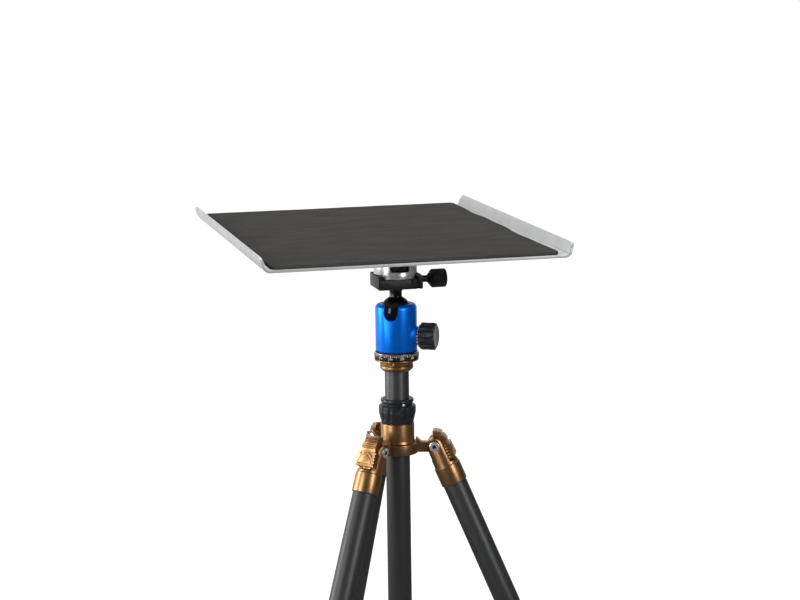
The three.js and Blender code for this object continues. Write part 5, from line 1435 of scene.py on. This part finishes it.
# Studio
VIEW_TURN = math.radians(13.95)  # the picture's right, from the tray's +X
PITCH, ROLL = math.radians(9.93), math.radians(-0.8)
CAMERA_OFFSET = Vector((4.31, -2159.3, 378.1))  # in the picture's own directions, mm
EYE_LEVEL = joint_point("ball_tilt").z + 11  # height on the column that lies on the picture's middle row
FOCAL_PIXELS, PICTURE_WIDTH, SENSOR = 2159, 800, 36
PICTURE_RIGHT = Vector((math.cos(VIEW_TURN), -math.sin(VIEW_TURN), 0))
PICTURE_AWAY = Vector((math.sin(VIEW_TURN), math.cos(VIEW_TURN), 0))
BRIGHT_TURN = math.radians(40)  # the backdrop is brightest behind the object and to the picture's left
BRIGHT_SIDE = PICTURE_AWAY * math.cos(BRIGHT_TURN) - PICTURE_RIGHT * math.sin(BRIGHT_TURN)
FILL_LEVEL, MIRROR_DIMMEST = 0.48, 0.04
FLOOR_REACH, FLOOR_GLOW, FLOOR_GLOW_SHARE = 40, 1.42, 0.6
UNDER_COLUMN = Vector((COLUMN.x, COLUMN.y, 0)) * MM
SHADOW_SPAN, SHADOW_GLOW = (0.4, 1), 0.15  # little glow near the column, in metres, so that the shadow shows
SKY_FADE, FLOOR_FADE = (-0.1, 0.75), (-1, 4)  # towards the bright side: in the sky, on the floor in metres
SOFTBOXES = {  # turn from the camera and rise in degrees; distance, width and height in metres; watts
    "left_softbox": (-51, 10, 2.0, 0.75, 1.4, 19),
    "side_softbox": (-98, 10, 2.0, 0.6, 1.5, 25),
    "right_softbox": (42, 16, 2.2, 0.5, 1.4, 20),
    "top_softbox": (170, 68, 2.2, 1.8, 1.8, 34),
}


def make_camera():
    ahead = PICTURE_AWAY * math.cos(PITCH) - UP * math.sin(PITCH)
    above = PICTURE_RIGHT.cross(ahead)
    right = PICTURE_RIGHT * math.cos(ROLL) + above * math.sin(ROLL)
    top = above * math.cos(ROLL) - PICTURE_RIGHT * math.sin(ROLL)
    spot = (Vector((COLUMN.x, COLUMN.y, EYE_LEVEL)) + PICTURE_RIGHT * CAMERA_OFFSET.x
            + PICTURE_AWAY * CAMERA_OFFSET.y + UP * CAMERA_OFFSET.z)
    data = bpy.data.cameras.new("camera")
    data.sensor_width = SENSOR
    data.sensor_fit = "HORIZONTAL"
    data.lens = FOCAL_PIXELS / PICTURE_WIDTH * SENSOR
    data.clip_end = 100
    camera = added("camera", data)
    camera.matrix_world = framed(right, top, -ahead, spot * MM)
    bpy.context.scene.camera = camera


def make_light(name, turn, rise, distance, width, height, power):
    """A softbox, placed by its angle from the camera, to the camera's right, and its rise."""
    around = PICTURE_RIGHT * math.sin(math.radians(turn)) - PICTURE_AWAY * math.cos(math.radians(turn))
    towards = around * math.cos(math.radians(rise)) + UP * math.sin(math.radians(rise))
    data = bpy.data.lights.new(name, "AREA")
    data.shape = "RECTANGLE"
    data.size, data.size_y = width, height
    data.energy = power
    light = added(name, data)
    light.location = Vector((COLUMN.x, COLUMN.y, EYE_LEVEL)) * MM + towards * distance
    light.rotation_euler = towards.to_track_quat("Z", "Y").to_euler()


def make_world():
    """A pale studio: white behind the object, and dimmer on the camera's side and to its right."""
    world = bpy.data.worlds.new("studio")
    world.use_nodes = True
    sky = Nodes(world.node_tree)
    sky.tree.nodes.clear()
    path = sky.node("ShaderNodeLightPath")
    direction = sky.node("ShaderNodeTexCoord").outputs["Generated"]
    mirrored = sky.faded(direction, "DOT_PRODUCT", BRIGHT_SIDE, *SKY_FADE, MIRROR_DIMMEST)
    fill = sky.mixed(path.outputs["Is Glossy Ray"], FILL_LEVEL, mirrored)
    shader = sky.node("ShaderNodeBackground", Color=(1, 1, 1, 1))
    sky.feed(sky.mixed(sky.straight_on(path), fill, 1), shader.inputs["Strength"])
    sky.feed(shader.outputs[0], sky.node("ShaderNodeOutputWorld").inputs[0])
    bpy.context.scene.world = world


def floor_material():
    floor = Finish("pale_floor", (0.86, 0.86, 0.85), 0.9, specular=0.1)
    glow = floor.node("ShaderNodeEmission", Color=(1, 1, 1, 1), Strength=FLOOR_GLOW)
    mirrored = floor.node("ShaderNodeEmission", Color=(1, 1, 1, 1))
    path = floor.node("ShaderNodeLightPath")
    place = floor.node("ShaderNodeTexCoord").outputs["Object"]
    brightness = floor.faded(place, "DOT_PRODUCT", BRIGHT_SIDE, *FLOOR_FADE, MIRROR_DIMMEST)
    floor.feed(brightness, mirrored.inputs["Strength"])
    clear = floor.faded(place, "DISTANCE", UNDER_COLUMN, *SHADOW_SPAN, SHADOW_GLOW)
    glow_share = floor.maths("MULTIPLY", clear, FLOOR_GLOW_SHARE)
    surface = floor.shader.outputs[0]
    for light, share in ((glow, floor.maths("MULTIPLY", floor.straight_on(path), glow_share)),
                         (mirrored, path.outputs["Is Glossy Ray"])):
        mix = floor.node("ShaderNodeMixShader")
        floor.feed(share, mix.inputs[0])
        floor.feed(surface, mix.inputs[1])
        floor.feed(light.outputs[0], mix.inputs[2])
        surface = mix.outputs[0]
    floor.feed(surface, floor.tree.nodes["Material Output"].inputs["Surface"])
    return floor.material


def make_floor():
    """A pale floor that takes the object's shadow and shows as white, like the world behind it."""
    bm = bmesh.new()
    bmesh.ops.create_grid(bm, x_segments=8, y_segments=8, size=FLOOR_REACH)
    floor = as_object(bm, "floor")
    floor.data.materials.append(floor_material())


make_tray()
make_pad()
make_thread_plate()
make_puck()
make_thumbwheel()
make_clamp_body()
make_clamp_jaw()
make_clamp_knob()
make_ball()
make_housing()
make_rim_screws()
make_lock_knob()
make_pan_lock()
make_pan_ring()
make_pan_base()
make_column()
make_collar()
make_collar_screw()
make_hub_sleeve()
make_spider()
for leg in LEGS:
    make_leg(leg)
dress_kept_nodes()
make_camera()
for softbox, measures in SOFTBOXES.items():
    make_light(softbox, *measures)
make_world()
make_floor()
bpy.context.scene.view_settings.view_transform = "Standard"
